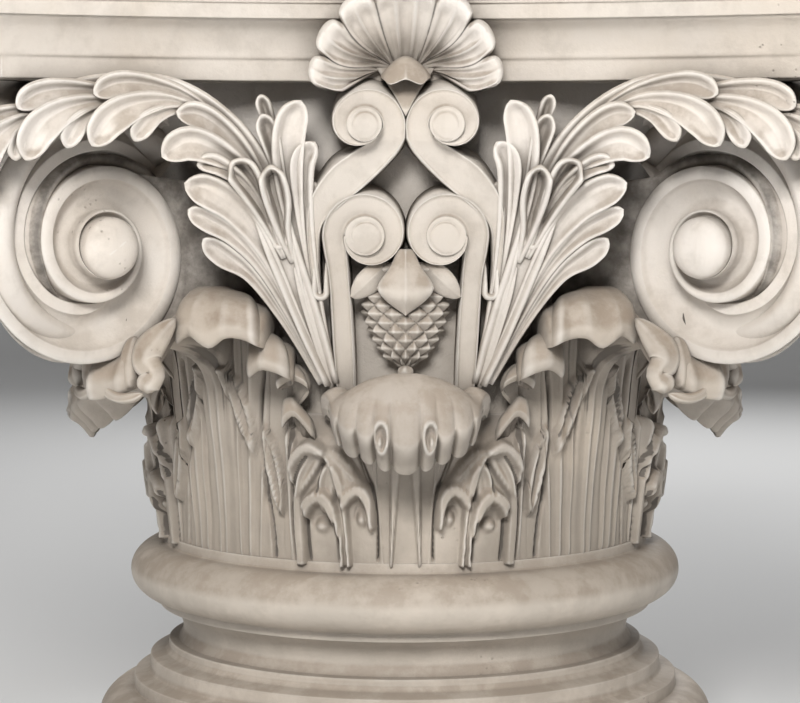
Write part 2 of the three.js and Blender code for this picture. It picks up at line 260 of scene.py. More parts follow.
def waver(x, y, z):
    """A slow irregular wave of about one unit, for the unevenness of hand work: a sum of slanted sines."""
    return (np.sin(0.031 * x + 0.017 * z + 1.3) + np.sin(0.023 * y - 0.037 * z + 0.4)
            + np.sin(0.051 * (x + y) + 0.043 * z + 2.1) * 0.6) / 2.6


# %% [markdown]
# The moulded foot
#
# The foot is turned work: one profile swept round the axis. From the bottom it has a plinth disc, the big
# lower torus, two steps, the hollow scotia, a fillet, the upper torus and the collar that the leaves stand
# on. Real arrises are never knife sharp, so each corner of the profile is eased by a short curve.


# %% Profiles
def bulge(radius, height, reach, rise, start, end, count):
    """Points of an elliptical moulding between two angles in degrees."""
    a = np.radians(np.linspace(start, end, count))
    return np.stack([radius + reach * np.cos(a), height + rise * np.sin(a)], axis=-1)


def eased(points, ease):
    """A broken line with each corner cut back by at most ease and rounded through the corner."""
    p = np.asarray(points, dtype=float)
    before, here, after = p[:-2], p[1:-1], p[2:]
    back, on = before - here, after - here
    length_back = np.linalg.norm(back, axis=1, keepdims=True)
    length_on = np.linalg.norm(on, axis=1, keepdims=True)
    start = here + back / length_back * np.minimum(ease, 0.4 * length_back)
    end = here + on / length_on * np.minimum(ease, 0.4 * length_on)
    middle = 0.25 * start + 0.5 * here + 0.25 * end
    return np.concatenate([p[:1], np.stack([start, middle, end], axis=1).reshape(-1, 2), p[-1:]])


def revolved(profile, count):
    """A profile of radius and height swept round the axis, with a slight waver of its radius."""
    azimuth = np.linspace(0, 360, count, endpoint=False)[:, None]
    radius, height = profile[None, :, 0], profile[None, :, 1]
    grid = polar(azimuth, radius, height)
    push = 0.5 * waver(*np.moveaxis(grid, -1, 0)) * smooth(0, 60, radius)
    return polar(azimuth, radius + push, height)


# %% Foot
collar_top = (foot_high[2] - foot_low[2]) / PART
collar_radius = 241
foot_profile = np.concatenate([
    [[0, 0]],
    eased([[240, 0], [298, 0], [298, 14], [286, 15]], 2),
    bulge(276, 48, 32, 34, -72, 80, 22),
    eased([[279, 82], [272, 82], [272, 94], [257, 98], [255.6, 102], [255.6, 113], [240, 117], [237, 121],
           [237, 128], [228, 128.5]], 1.6),
    through([[227, 129], [222.4, 139], [226, 152], [237, 163.5]], 12),
    eased([[238, 164], [246, 164], [246, 172], [249, 173]], 1.4),
    bulge(243.6, 199, 31, 27, -80, 84, 22),
    eased([[245, 226], [collar_radius, 226.5], [collar_radius, collar_top], [180, collar_top]], 1.6),
    [[0, collar_top]],
])
foot = mesh_piece("foot_mouldings", [revolved(foot_profile, 176)], wrap_rows=True)
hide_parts("moulded_foot")

# %% [markdown]
# The bell
#
# Behind all the foliage is the bell, the plain basket that the leaves grow on. It is round at its foot and
# turns squarer as it rises, because it has to carry the corners of the abacus. Only dark glimpses of it
# show, so it is a coarse grid with a rough finish.

# %% Bell
BELL_FOOT, BELL_MIDDLE, BELL_NECK = 228, 238, 252
BELL_SIDE, BELL_CORNER = 246, 335  # of the rounded square at its top
ABACUS_BOTTOM = 672


def bell_radius(azimuth, height):
    """Radius of the bell: its round profile, blended upwards into a rounded square."""
    round_radius = np.interp(height, [236, 430, 590, 690], [BELL_FOOT, BELL_MIDDLE, BELL_NECK, BELL_NECK])
    off_face = np.radians(np.abs((azimuth + 45) % 90 - 45))
    square = np.minimum(BELL_SIDE / np.cos(off_face) ** 0.9, BELL_CORNER)
    return mix(round_radius, square, smooth(540, 676, height))


bell_azimuth = np.linspace(0, 360, 128, endpoint=False)[None, :]
bell_height = np.linspace(capital_low[2] / PART, ABACUS_BOTTOM + 8, 60)[:, None]
bell_grid = polar(bell_azimuth, bell_radius(bell_azimuth, bell_height), bell_height)
bell_grid = bell_grid + 1.2 * waver(*(3 * np.moveaxis(bell_grid, -1, 0)))[..., None] * [1, 1, 0]
bell = mesh_piece("bell", [capped(bell_grid)])
# The bell is painted darker all over: painted shade behind the foliage, with some soiling.
bell_shade_and_dirt = np.full(len(bell.data.vertices), 0.45, dtype=np.float32)
bell.data.attributes["hollow"].data.foreach_set("value", bell_shade_and_dirt)

# %% [markdown]
# The abacus
#
# The abacus is the slab on top. Its four sides are hollow in plan and meet in horns that are cut square to
# the diagonal. Up its edge run a flat band, a deep cove, a fillet and a quarter round. A point of the grid
# is a place round the plan at an offset that the edge profile gives.

# %% Abacus
ABACUS_TOP = PARTS_HIGH
ABACUS_MIDDLE, HORN_ALONG, HORN_OUT = 280, 342, 374


def abacus_grid(profile, per_side):
    """The edge profile carried round the plan: out = middle + (horn - middle) times across squared."""
    across = np.sin(np.linspace(-1, 1, per_side) * math.pi / 2)
    across = np.sign(across) * np.abs(across) ** 0.9
    offset, height = profile[:, 0][:, None], profile[:, 1][:, None]
    along = across * (HORN_ALONG + 0.5 * offset)
    out = mix(ABACUS_MIDDLE + offset, HORN_OUT + 0.9 * offset, across**2)
    side = np.stack(np.broadcast_arrays(along, -out, height), axis=-1)
    following = turned(side, 1)
    cut = [side[:, -1:] * (1 - t) + following[:, :1] * t for t in (0.04, 0.5, 0.96)]
    whole_side = np.concatenate([side, *cut], axis=1)
    return np.concatenate([turned(whole_side, k) for k in range(4)], axis=1)


edge_profile = np.concatenate([
    eased([[-30, ABACUS_BOTTOM], [0, ABACUS_BOTTOM], [0, 690], [2.5, 692], [3, 695]], 1.6),
    through([[3, 696], [6, 705], [13, 716], [25, 724]], 9),
    eased([[25.5, 725], [30, 725], [30, 738], [33, 738.5], [33, 741]], 1.2),
    through([[33.5, 741.5], [39, 744], [43, 750], [44, 757], [42, 763], [38, ABACUS_TOP]], 12),
    [[30, ABACUS_TOP], [-60, ABACUS_TOP]],
])
abacus_points = abacus_grid(edge_profile, 56)
abacus_points[:-2] += (0.5 * waver(*np.moveaxis(abacus_points[:-2], -1, 0)))[..., None] * [1, 1, 0]
top_rings = [abacus_points[-2:-1] * [k, k, 1] for k in (0.85, 0.55, 0.25)]
abacus_points = np.concatenate([abacus_points[:-1], *top_rings])
abacus = mesh_piece("abacus", [capped(abacus_points)])

# %% [markdown]
# Volutes
#
# A volute is a coiled scroll at each end of a face, under the horn of the abacus. Two meet at every corner,
# back to back. Its outline is a spiral: the radius shrinks from the outer turn to the eye. The strip between
# one turn and the next has a flat rim, a fine step and a broad hollow channel, and the next turn stands
# proud of it. The spiral is a grid of angle by share of the way inwards. A dome fills the eye, a band closes
# the corner between the two outlines, and a plain arm carries the pair back to the bell.

# %% Volutes
VOLUTE_EYE = np.array([271.6, -293.2, 526.0])
VOLUTE_TURN_IN = math.radians(37)
EYE_RADIUS, OUTER_RADIUS = 27, 141
WINDINGS, START = math.radians(920), math.radians(-48)
TURN = 2 * math.pi
PER_TURN = 76
# Width of the rim, depth of the step and of the channel, rise of the inner turn, height of the eye.
RIM, STEP_DOWN, SINK, RISE, DOME = 12, 4.2, 9, 20, 12
DIP = 22  # how far behind the plane the band begins, hidden by the frond
# The inner rim: its radius at some angles from upright, and its width.
BORDER_ANGLES = np.radians([-48, 0, 45, 90, 135, 170, 205])
BORDER_RADII = [104, 96, 89, 81, 70, 60, 45]
BORDER_WIDTH = 11
ARM_LENGTH, ARM_WIDENS = 130, 1.6

outwards = np.array([math.cos(VOLUTE_TURN_IN), -math.sin(VOLUTE_TURN_IN), 0])
facing = np.array([-math.sin(VOLUTE_TURN_IN), -math.cos(VOLUTE_TURN_IN), 0])
upwards = np.array([0, 0, 1.0])


def winding_radius(angle):
    """Radius of the spiral: eye + (outer - eye) times the share of the windings left, to the power 1.9."""
    return mix(EYE_RADIUS, OUTER_RADIUS, np.maximum(0, 1 - angle / WINDINGS) ** 1.9)


def winding_lift(angle):
    """How far the rim stands off the plane: from DIP behind it to level, then rising evenly to the eye."""
    rising = np.clip((angle - 0.7 * TURN) / (WINDINGS - 0.7 * TURN), 0, 1) ** 1.1
    return RISE * rising - DIP * smooth(0, 1, angle / START)


def on_volute(angle, radius, height):
    """A place on the plane of the volute: angle from straight up towards the corner, and height off it."""
    angle, radius, height = (v[..., None] for v in np.broadcast_arrays(angle, radius, height))
    return (VOLUTE_EYE + outwards * radius * np.sin(angle) + upwards * radius * np.cos(angle)
            + facing * height)


def mated(points):
    """The same grid on the other volute of the corner, mirrored in the diagonal plane."""
    return np.stack([-points[..., 1], -points[..., 0], points[..., 2]], axis=-1)


def coil():
    """The strip between one turn and the next: rim, step, hollow channel, inner rim, groove and wall.

    The inner rim is the border of the channel. It comes down from the top inside the first turn, nears the
    second turn and dies out against it after a little more than half a turn.
    """
    count = int((WINDINGS - START) / TURN * PER_TURN) + 1
    angle = (START + np.arange(count) * TURN / PER_TURN)[:, None]
    outer, inner = winding_radius(angle), winding_radius(angle + TURN)
    width = outer - inner
    rim = np.minimum(RIM, 0.40 * width)
    border = np.interp(angle, BORDER_ANGLES, BORDER_RADII)
    border = np.where(angle < BORDER_ANGLES[-1], np.maximum(border, inner), inner)
    border_rim = np.minimum(BORDER_WIDTH, np.maximum(border - inner - 0.8, 0))
    groove = np.maximum(border - inner - border_rim, 0)

    start = outer - rim - 1.2
    v = np.linspace(0, 1, 13)[None, :]
    channel = mix(start, border, v)
    sink = np.minimum(SINK, 0.45 * (start - border) + 0.5)
    shared = smooth(0, 6, border_rim)
    bowl = mix(np.sin(np.pi * (0.06 + 0.80 * v)) - 0.19, np.sin(np.pi * v) ** 0.8, shared)
    level = winding_lift(angle)
    channel_height = level - STEP_DOWN - sink * bowl
    rim_places = np.array([[0.02, 0.12, 0.5, 0.88, 0.98]])
    inner_rim = border - border_rim * rim_places
    under_step = mix(sink * (np.sin(0.86 * np.pi) - 0.19), -0.6, shared)
    inner_height = level - STEP_DOWN - under_step + 0 * rim_places
    deep = np.minimum(15, 1.6 * groove)
    groove_radius = border - border_rim - groove * np.array([[0.08, 0.35, 0.65, 0.92]])
    groove_height = inner_height[:, :1] - deep * np.array([[0.55, 1.0, 1.0, 0.9]])
    edge = np.concatenate([outer, outer - 0.9, outer - 0.5 * rim, outer - rim + 0.8, outer - rim], axis=1)
    edge_height = level + np.array([[-1.1, 0, 0.3, 0.1, -0.5]])
    top = winding_lift(angle + TURN)
    wall = np.concatenate([inner, inner], axis=1)
    wall_height = np.concatenate([mix(groove_height[:, -1:], top, 0.5), top - 1.1], axis=1)
    radius = np.concatenate([edge, channel, inner_rim, groove_radius, wall], axis=1)
    height = np.concatenate([edge_height, channel_height, inner_height, groove_height, wall_height], axis=1)
    in_groove = np.clip(groove / 6, 0, 1)
    # Painted shade and soiling: a little over the channel, more next to the wall of the next turn, in the
    # groove and on the wall.
    dirt_and_shade = np.concatenate([0 * edge, 0.10 + 0.35 * smooth(0.75, 1, v) * (1 - shared), 0 * inner_rim,
                           0.25 + 0.4 * in_groove * np.array([[1, 1.2, 1, 0.7]]), 0.25 + 0 * wall], axis=1)
    radius = np.concatenate([radius[:1], radius])
    height = np.concatenate([height[:1] * 0 - 1.1 - DIP, height])
    angle = np.concatenate([angle[:1], angle])
    return on_volute(angle, radius, height), np.concatenate([dirt_and_shade[:1], dirt_and_shade])


def eye_dome():
    """The eye: a short wall and a low cap whose height follows a quarter ellipse."""
    angle = np.linspace(0, TURN, PER_TURN + 1)[None, :]
    t = np.linspace(0, math.pi / 2, 14)[:, None]
    radius = np.concatenate([[[EYE_RADIUS], [EYE_RADIUS]], EYE_RADIUS * np.cos(t) ** 0.85])
    height = np.concatenate([[[RISE - 26], [RISE - 1]], RISE + 3 + DOME * np.sin(t)])
    # Painted shade on the short wall under the eye, fading up the cap.
    dirt_and_shade = np.concatenate([[[0.8], [0.5]], 0.12 * np.cos(t)])
    return on_volute(angle, radius, height), np.broadcast_to(dirt_and_shade, (16, PER_TURN + 1))


def corner_web():
    """The band between the two outlines of a corner, with a shallow hollow and a bead along its middle."""
    angle = START + np.linspace(0, TURN, PER_TURN + 1)
    edge = on_volute(angle, winding_radius(angle), -1.1 - DIP * smooth(0, 1, angle / START))
    closing = on_volute(START, np.linspace(winding_radius(START + TURN), winding_radius(START), 8),
                        np.linspace(-1.1, -1.1 - DIP, 8))
    edge = np.concatenate([edge, closing[1:]])
    share = np.linspace(0, 1, 15)[:, None, None]
    web = mix(edge[None], mated(edge)[None], share)
    hollow = np.sin(math.pi * share) ** 0.6
    bead = np.exp(-(((share - 0.5) / 0.07) ** 2))
    centre = web.mean(axis=1, keepdims=True)
    return centre + (web - centre) * (1 - 0.05 * hollow + 0.035 * bead)


def arm():
    """What carries a pair of volutes: the inner half of their outline, drawn to the bell as it widens."""
    angle = np.radians(np.linspace(195, 345, 26))
    edge = on_volute(angle, 0.95 * winding_radius(angle), -3)
    loop = np.concatenate([edge, mated(edge)[::-1], edge[:1]])
    centre = loop.mean(axis=0)
    sideways = np.array([1, 1, 0]) / math.sqrt(2)
    inwards = np.array([-1, 1, 0]) / math.sqrt(2)
    step, widening = (np.linspace(0, end, 8)[:, None, None] for end in (ARM_LENGTH, ARM_WIDENS))
    across = ((loop - centre) @ sideways)[None, :, None] * sideways
    sunk = (loop - centre) * [0, 0, 1] * (-0.14 * widening)
    return capped(loop + inwards * step + across * widening + sunk)


coil_points, coil_dirt_and_shade = coil()
dome_points, dome_shade = eye_dome()
web_points, arm_points = corner_web(), arm()
volute_grids = [coil_points, dome_points, mated(coil_points), mated(dome_points), web_points, arm_points]
# The arm is painted dark all over, as shade behind the volutes.
web_dirt, arm_shade = np.zeros(web_points.shape[:2]), np.full(arm_points.shape[:2], 0.72)
volute_dirt_and_shade = [coil_dirt_and_shade, dome_shade, coil_dirt_and_shade, dome_shade, web_dirt, arm_shade]
volutes = mesh_piece("corner_volutes", on_faces(volute_grids), volute_dirt_and_shade * 4, wrap_columns=False)

# %% [markdown]
# The carved ground and the spoon
#
# The foliage of a face grows out of a carved ground that swells forward towards the corners. Almost every
# leaflet of acanthus is a spoon: a long stem, a rounded tip, a thick raised rim and a hollow inside. The
# spoon is a path with a half width at each point. Its height off the path depends only on how far a point
# is from the edge: it climbs a round rim and then sinks into the bowl. Short walls carry it down.


# %% Ground and spoon
def on_ground(x, z, lift):
    """A place on the carved ground: depth = bell + 85 times (x / 300) to the power 1.6 + lift."""
    bell_depth = 236 + 14 * smooth(236, 340, z) + 25 * smooth(450, 650, z)
    depth = bell_depth + 85 * (np.abs(x) / 300) ** 1.6 + lift
    return np.stack(np.broadcast_arrays(x, -depth, z), axis=-1)


def along(points):
    """Distance run along a path, the whole length last."""
    return np.concatenate([[0], np.cumsum(np.linalg.norm(np.diff(points, axis=0), axis=1))])


def soft_least(a, b):
    """Nearly the smaller of two distances, without a crease where they are equal."""
    return a * b / np.maximum((a**4 + b**4) ** 0.25, 1e-6)


def spoon(points, rim=2.6, swell=2.4, dish=6, wall=16, rows=26, lean=0.0, vein=0.0, hood=0.0, across=15):
    """A spoon through control points of x, z, lift and half width, with how dark it is painted.

    Height = swell times a quarter circle over the rim, less a smooth step of (swell + dish) into the bowl.
    A crease runs just inside the rim. lean runs from -1 to 1. It favours one edge: there the rim is tall and
    the bowl is deepest. hood deepens the bowl towards the tip.
    """
    fine = through(points, 120)
    run = along(fine[:, :2])
    length = run[-1]
    q = np.linspace(0, 1, rows)
    place = length * (0.4 * q + 0.6 * np.sin(q * math.pi / 2))
    path = np.stack([np.interp(place, run, fine[:, k]) for k in range(4)], axis=1)
    left = length - place
    half = path[:, 3] * np.clip(1 - np.clip(1 - left / (1.5 * path[-1, 3]), 0, 1) ** 2, 0, 1) ** 0.62
    direction = np.gradient(path[:, :2], axis=0)
    direction = direction / np.maximum(np.linalg.norm(direction, axis=1, keepdims=True), 1e-9)
    normal = np.stack([-direction[:, 1], direction[:, 0]], axis=1)
    u = np.sin(np.linspace(-1, 1, across) * math.pi / 2)[None, :]
    half = half[:, None]
    inside = soft_least(half * (1 - np.abs(u)) + 1e-3, np.maximum(left, 1e-3)[:, None])
    favour = (1 + lean * u) / (1 + abs(lean))
    rim_wide = rim * (0.28 + 0.72 * favour)
    rim_tall = swell * (0.10 + 0.90 * favour)
    ridge = rim_tall * np.sqrt(1 - np.clip(1 - inside / rim_wide, 0, 1) ** 2)
    near_tip = smooth(0.55, 0.9, place / length)[:, None]
    deep = dish * np.clip(half / 9, 0.2, 1.3) * (0.05 + 0.95 * favour) * (1 + hood * near_tip)
    bowl = (rim_tall + deep) * smooth(rim_wide, 2.4 * rim_wide + 0.12 * half, inside)
    line = vein * np.exp(-((half * u / 1.1) ** 2)) * smooth(2, 10, inside)
    crease = favour * np.exp(-(((inside - 1.5 * rim_wide) / (0.55 * rim_wide)) ** 2)) * (dish > 2)
    height = path[:, 2:3] + ridge - bowl - line - 1.6 * crease
    x = path[:, 0:1] + normal[:, 0:1] * half * u
    z = path[:, 1:2] + normal[:, 1:2] * half * u
    ends = 0.86 * half * np.array([[1, -1]])
    x = np.concatenate([x, path[:, 0:1] + normal[:, 0:1] * ends], axis=1)
    z = np.concatenate([z, path[:, 1:2] + normal[:, 1:2] * ends], axis=1)
    sunk = path[:, 2:3] - wall * np.ones((1, 2))
    # Painted shade with soiling in the bowl under the tall rim, paler in its middle, in the crease and along
    # the vein; the walls below are painted darker still as shade.
    paler_middle = 1 - 0.5 * smooth(0.35, 0.9, inside / (half + 1e-3))
    dirt_and_shade = 0.34 * favour * smooth(rim_wide, 2 * rim_wide, inside) * paler_middle
    dirt_and_shade = dirt_and_shade + 0.34 * crease + 0.42 * np.exp(-((half * u / 1.3) ** 2)) * smooth(2, 8, inside) * (vein > 0)
    dirt_and_shade = np.concatenate([dirt_and_shade, np.full_like(sunk, 0.8)], axis=1)
    grid = on_ground(x, z, np.concatenate([height, sunk], axis=1))
    return capped(grid), np.concatenate([dirt_and_shade[:1], dirt_and_shade, dirt_and_shade[-1:]])


def placed(template, base, turn, size, lift=0.0):
    """Control points turned by some degrees, scaled and moved to their base."""
    p = np.array(template, dtype=float)
    a = math.radians(turn)
    x = base[0] + size * (p[:, 0] * math.cos(a) - p[:, 1] * math.sin(a))
    z = base[1] + size * (p[:, 0] * math.sin(a) + p[:, 1] * math.cos(a))
    return np.stack([x, z, p[:, 2] + lift, p[:, 3] * size], axis=1)


# %% [markdown]
# The sprays of acanthus
#
# From each stalk a long frond swings out under the abacus to the corner, and leaflets hang from it in
# groups of three: one above, one large and one small. Below it a fan of broader leaflets reaches towards
# the volute, two curled leaflets sit in the fork, and three upright ones fill the space beside the scrolls.
# The groups are one template, turned and moved. The others each have a short list of control points.

# %% Frond and its groups of leaflets
frond_ridge = [(66, 402, 4, 7), (84, 452, 8, 12), (108, 520, 12, 15), (132, 592, 14, 16), (162, 634, 15, 15),
               (206, 661, 14, 14), (262, 664, 10, 12), (306, 652, 6, 9), (342, 634, 0, 5)]
group_template = {
    "upper": [(-34, -12, 6, 3.4), (-6, 5, 13, 5.5), (22, 11, 20, 9.5), (46, 10, 23, 11.5), (65, 1, 21, 9)],
    "small": [(-30, -22, 6, 2.8), (-6, -10, 13, 4.2), (12, -14, 21, 7.4), (24, -25, 24, 9.2),
              (32, -38, 20, 6.8)],
    "large": [(-34, -18, 6, 3.2), (-4, -3, 17, 5.5), (26, -6, 25, 11.5), (50, -20, 28, 14.5),
              (66, -43, 22, 9.5)],
}
first_group = [
    [(108, 548, 6, 3.5), (131, 596, 14, 5.5), (152, 622, 21, 10), (176, 640, 24, 12), (198, 644, 21, 9)],
    [(114, 540, 8, 3.0), (136, 578, 18, 4.5), (152, 592, 26, 7.5), (167, 600, 28, 9), (181, 598, 24, 7)],
    [(112, 545, 8, 3.4), (136, 588, 18, 6.0), (160, 608, 27, 12), (187, 617, 30, 15), (210, 605, 24, 10.5)],
]
# Where each group hangs, its turn in degrees, its size and its lift.
frond_groups = [((318, 640), -24, 0.8, 0), ((262, 655), -9, 1.0, 2), ((200, 656), 1, 1.0, 4)]

GROUP_FINISH = {"lean": 0.9, "vein": 0.7, "dish": 8, "rim": 4.4, "swell": 3.2}
spray_spoons = [spoon(frond_ridge, rim=4, swell=3, dish=2.5, rows=60, vein=2.2, wall=34)]
for base, turn, size, lift in frond_groups:
    for template in group_template.values():
        spray_spoons.append(spoon(placed(template, base, turn, size, lift), **GROUP_FINISH))
for leaflet in first_group:
    spray_spoons.append(spoon(leaflet, **GROUP_FINISH))
print(len(spray_spoons), "shapes in the frond of each half")

# %% Fan, fork and upright leaflets
fan_leaflets = [
    [(70, 402, 2, 2.8), (96, 462, 6, 4.6), (121, 519, 12, 7.5), (146, 557, 19, 13), (168, 574, 23, 15),
     (192, 583, 19, 12)],
    [(73, 403, 0, 2.6), (101, 462, 3, 4.4), (128, 509, 8, 5.8), (152, 537, 14, 8.8), (172, 550, 17, 10.5),
     (190, 560, 14, 8)],
    [(76, 402, -3, 2.6), (106, 456, -1, 4.4), (136, 500, 4, 7), (160, 519, 9, 11), (178, 534, 9, 8.5)],
]
fork_leaflets = [
    [(108, 516, 8, 3.5), (120, 545, 16, 6.5), (131, 572, 26, 11.5), (142, 592, 35, 14), (152, 602, 27, 10)],
    [(100, 512, 8, 3.2), (108, 540, 17, 7), (112, 566, 27, 12), (116, 586, 34, 12), (118, 599, 27, 8)],
]
upright_leaflets = [
    [(112, 600, 4, 4), (120, 636, 9, 6.5), (127, 660, 13, 7.5)],
    [(104, 560, 8, 4), (112, 596, 15, 6.5), (119, 624, 20, 9.5), (125, 643, 21, 9.5)],
]
heart_leaflets = [
    # each with the side that its tall rim is on
    (1, [(62, 402, 2, 2.2), (75, 460, 6, 4), (84, 515, 10, 6), (90, 566, 16, 9), (90, 600, 22, 11),
         (79, 619, 23, 9)]),
    (-1, [(66, 402, 0, 2.4), (84, 470, 6, 5), (97, 540, 13, 8.5), (103, 590, 19, 13), (101, 630, 25, 14.5),
          (91, 655, 28, 11)]),
]
for leaflet in fan_leaflets:
    spray_spoons.append(spoon(leaflet, lean=0.9, rows=34, dish=8.5, rim=4.2, swell=3.2, wall=22))
for leaflet in fork_leaflets:
    spray_spoons.append(spoon(leaflet, rows=30, dish=12, rim=3.6, swell=3.8, vein=2.0, wall=30, hood=0.9))
for leaflet in upright_leaflets:
    spray_spoons.append(spoon(leaflet, rows=28, dish=8, rim=2.8, swell=2.6, vein=1.4, wall=24))
for rim_side, leaflet in heart_leaflets:
    spray_spoons.append(spoon(leaflet, lean=0.9 * rim_side, rows=40, dish=9, rim=4.6, swell=3.6, wall=24))

# The flat strips of the stalk, and the small cups that close its slots at the bottom.
stalk_strips = [
    [(66, 400, 0, 3), (86, 455, 4, 7), (104, 512, 8, 12), (111, 530, 9, 12)],
    [(66, 398, 2, 2), (76, 430, 5, 3.4), (90, 480, 9, 4.5), (96, 512, 10, 4.5)],
    [(78, 470, 4, 3), (82, 510, 9, 4), (84, 550, 12, 4.5), (80, 584, 14, 4)],
]
for strip in stalk_strips:
    spray_spoons.append(spoon(strip, rows=24, dish=0.2, rim=2, swell=1.0, wall=20))


def bracket(x, z, half_wide, tall, lift, thick=4.2):
    """A U-shaped bead: a round tube along a half circle with two straight arms, tapered at both ends."""
    t = np.linspace(-1, 1, 31)
    bend = 0.45
    a = np.clip(t / bend, -1, 1) * math.pi / 2
    arm = np.maximum(np.abs(t) - bend, 0) / (1 - bend) * tall
    px, pz = x + half_wide * np.sin(a), z - half_wide * np.cos(a) + arm
    slope = np.stack([np.gradient(px), np.gradient(pz)], axis=1)
    slope /= np.linalg.norm(slope, axis=1, keepdims=True)
    around = np.linspace(0, 2 * math.pi, 12, endpoint=False)[None, :]
    size = (thick * (1 - 0.7 * np.abs(t) ** 3))[:, None]
    side = size * np.cos(around)
    grid = on_ground(px[:, None] - slope[:, 1:] * side, pz[:, None] + slope[:, :1] * side,
                     lift + size * np.sin(around))
    return capped(grid), np.zeros((33, 12))


spray_spoons.append(bracket(112, 534, 7.5, 18, 11, 3.4))
spray_spoons.append(bracket(76, 486, 5.5, 26, 9, 3.2))
spray_grids = [g for g, _ in spray_spoons]
# How dark each leaflet is painted: soiling and painted shade.
spray_dirt_and_shade = [d for _, d in spray_spoons]
print(len(spray_grids), "leaflets on each half of a face")
# One mesh of them all would be too heavy, so the list is cut in the middle.
middle = len(spray_grids) // 2
sprays = [
    mesh_piece("frond_leaflets", on_halves(spray_grids[:middle]), dirt_and_shade_on_halves(spray_dirt_and_shade[:middle])),
    mesh_piece("fan_leaflets", on_halves(spray_grids[middle:]), dirt_and_shade_on_halves(spray_dirt_and_shade[middle:])),
]

# %% [markdown]
# Inner scrolls
#
# Between the sprays, two pairs of scrolls meet on the axis of the face. The lower pair rises straight from
# behind the centre leaf and coils inwards. The upper pair crosses from the stalks to the axis and coils
# outwards. Each is a ribbon between two edge curves, with a thin raised rim, a hollow face and walls that
# spread backwards. A disc fills the eye of each coil.


# %% Ribbons between two edges
def behind(outward, climb):
    """How far the back of a wall stands outside its front edge: 3 sideways, and climb where it faces up."""
    return np.stack([3 * outward[..., 0], climb * np.maximum(outward[..., 1], 0)], axis=-1)


def ribbon(near, far, lift, rim=0.16, sink=4.5, wall=34, climb=9, columns=12):
    """A strip between two edge curves of x, z. Height = lift, less sink times a flat-bottomed hollow.

    The walls go back from both edges. Those that face up climb as they go, so their tops can be seen.
    """
    v = np.linspace(0, 1, columns)
    v = v - 0.05 * np.sin(2 * math.pi * v)
    near, far = np.asarray(near)[:, None, :], np.asarray(far)[:, None, :]
    v = v[None, :]
    flat = near + (far - near) * v[..., None]
    lift = np.asarray(lift, dtype=float)[:, None] * np.ones_like(v)
    sink = np.broadcast_to(sink, len(lift))[:, None]
    hollow = smooth(0, rim, v) * smooth(0, rim, 1 - v)
    edge = 1 - smooth(0, 0.05, v) * smooth(0, 0.05, 1 - v)
    height = lift - sink * hollow - 0.9 * edge
    out = near - far
    out = out / np.maximum(np.linalg.norm(out, axis=-1, keepdims=True), 1e-6)
    back = np.concatenate([far + behind(-out, climb), near + behind(out, climb)], axis=1)
    flat = np.concatenate([flat, back], axis=1)
    height = np.concatenate([height, lift[:, :2] - wall], axis=1)
    # Painted shade in the hollow face, and darker painted shade on the walls behind.
    dirt_and_shade = np.concatenate([0.18 * hollow * np.ones_like(lift), np.full((len(near), 2), 0.5)], axis=1)
    grid = on_ground(flat[..., 0], flat[..., 1], height)
    return capped(grid), np.concatenate([dirt_and_shade[:1], dirt_and_shade, dirt_and_shade[-1:]])


COIL_STEPS = 64  # points along the edge of a coil


def coil_edges(centre, angles, outer, inner):
    """Two edge curves round a centre. Radii are given at some angles and run smoothly between them."""
    a = np.linspace(angles[0], angles[-1], COIL_STEPS)
    order = np.argsort(angles)
    known = np.array(angles, dtype=float)[order]
    turn = np.radians(a)
    unit = np.stack([np.cos(turn), np.sin(turn)], axis=1)
    radius_out = np.interp(a, known, np.array(outer, dtype=float)[order])
    radius_in = np.interp(a, known, np.array(inner, dtype=float)[order])
    ease = np.ones(9) / 9
    radius_out = np.convolve(np.pad(radius_out, 4, mode="edge"), ease, mode="valid")
    radius_in = np.convolve(np.pad(radius_in, 4, mode="edge"), ease, mode="valid")
    return centre + unit * radius_out[:, None], centre + unit * radius_in[:, None]


def eye_disc(centre, radius, lift, dome=1.2, wall=22):
    """The disc of an eye: round edge, faint dome and a fine spiral groove, like the end of a rolled strip."""
    a = np.linspace(0, 2 * math.pi, 49)[None, :-1]
    share = [1.02, 1.0, 0.985, 0.955, 0.9, 0.84, 0.78, 0.72, 0.66, 0.6, 0.52, 0.42, 0.3, 0.15]
    share = np.array(share)[:, None]
    spiral = 0.60 + 0.32 * ((a + 1.2) % (2 * math.pi)) / (2 * math.pi)
    groove = np.exp(-(((share - spiral) / 0.045) ** 2)) * smooth(0.4, 1.5, (a + 1.2) % (2 * math.pi))
    height = lift + dome * (1 - share**2) - 1.1 * groove * (share < 0.93)
    height[:1] = lift - wall
    height[1:2] = lift - 1.2
    x = centre[0] + radius * share * np.cos(a)
    z = centre[1] + radius * share * np.sin(a)
    # Painted shade in the spiral groove.
    dirt_and_shade = 0.6 * groove * (share < 0.93)
    grid = on_ground(x, z, height * np.ones_like(a))
    return capped(grid), np.concatenate([dirt_and_shade[:1], dirt_and_shade, dirt_and_shade[-1:]])


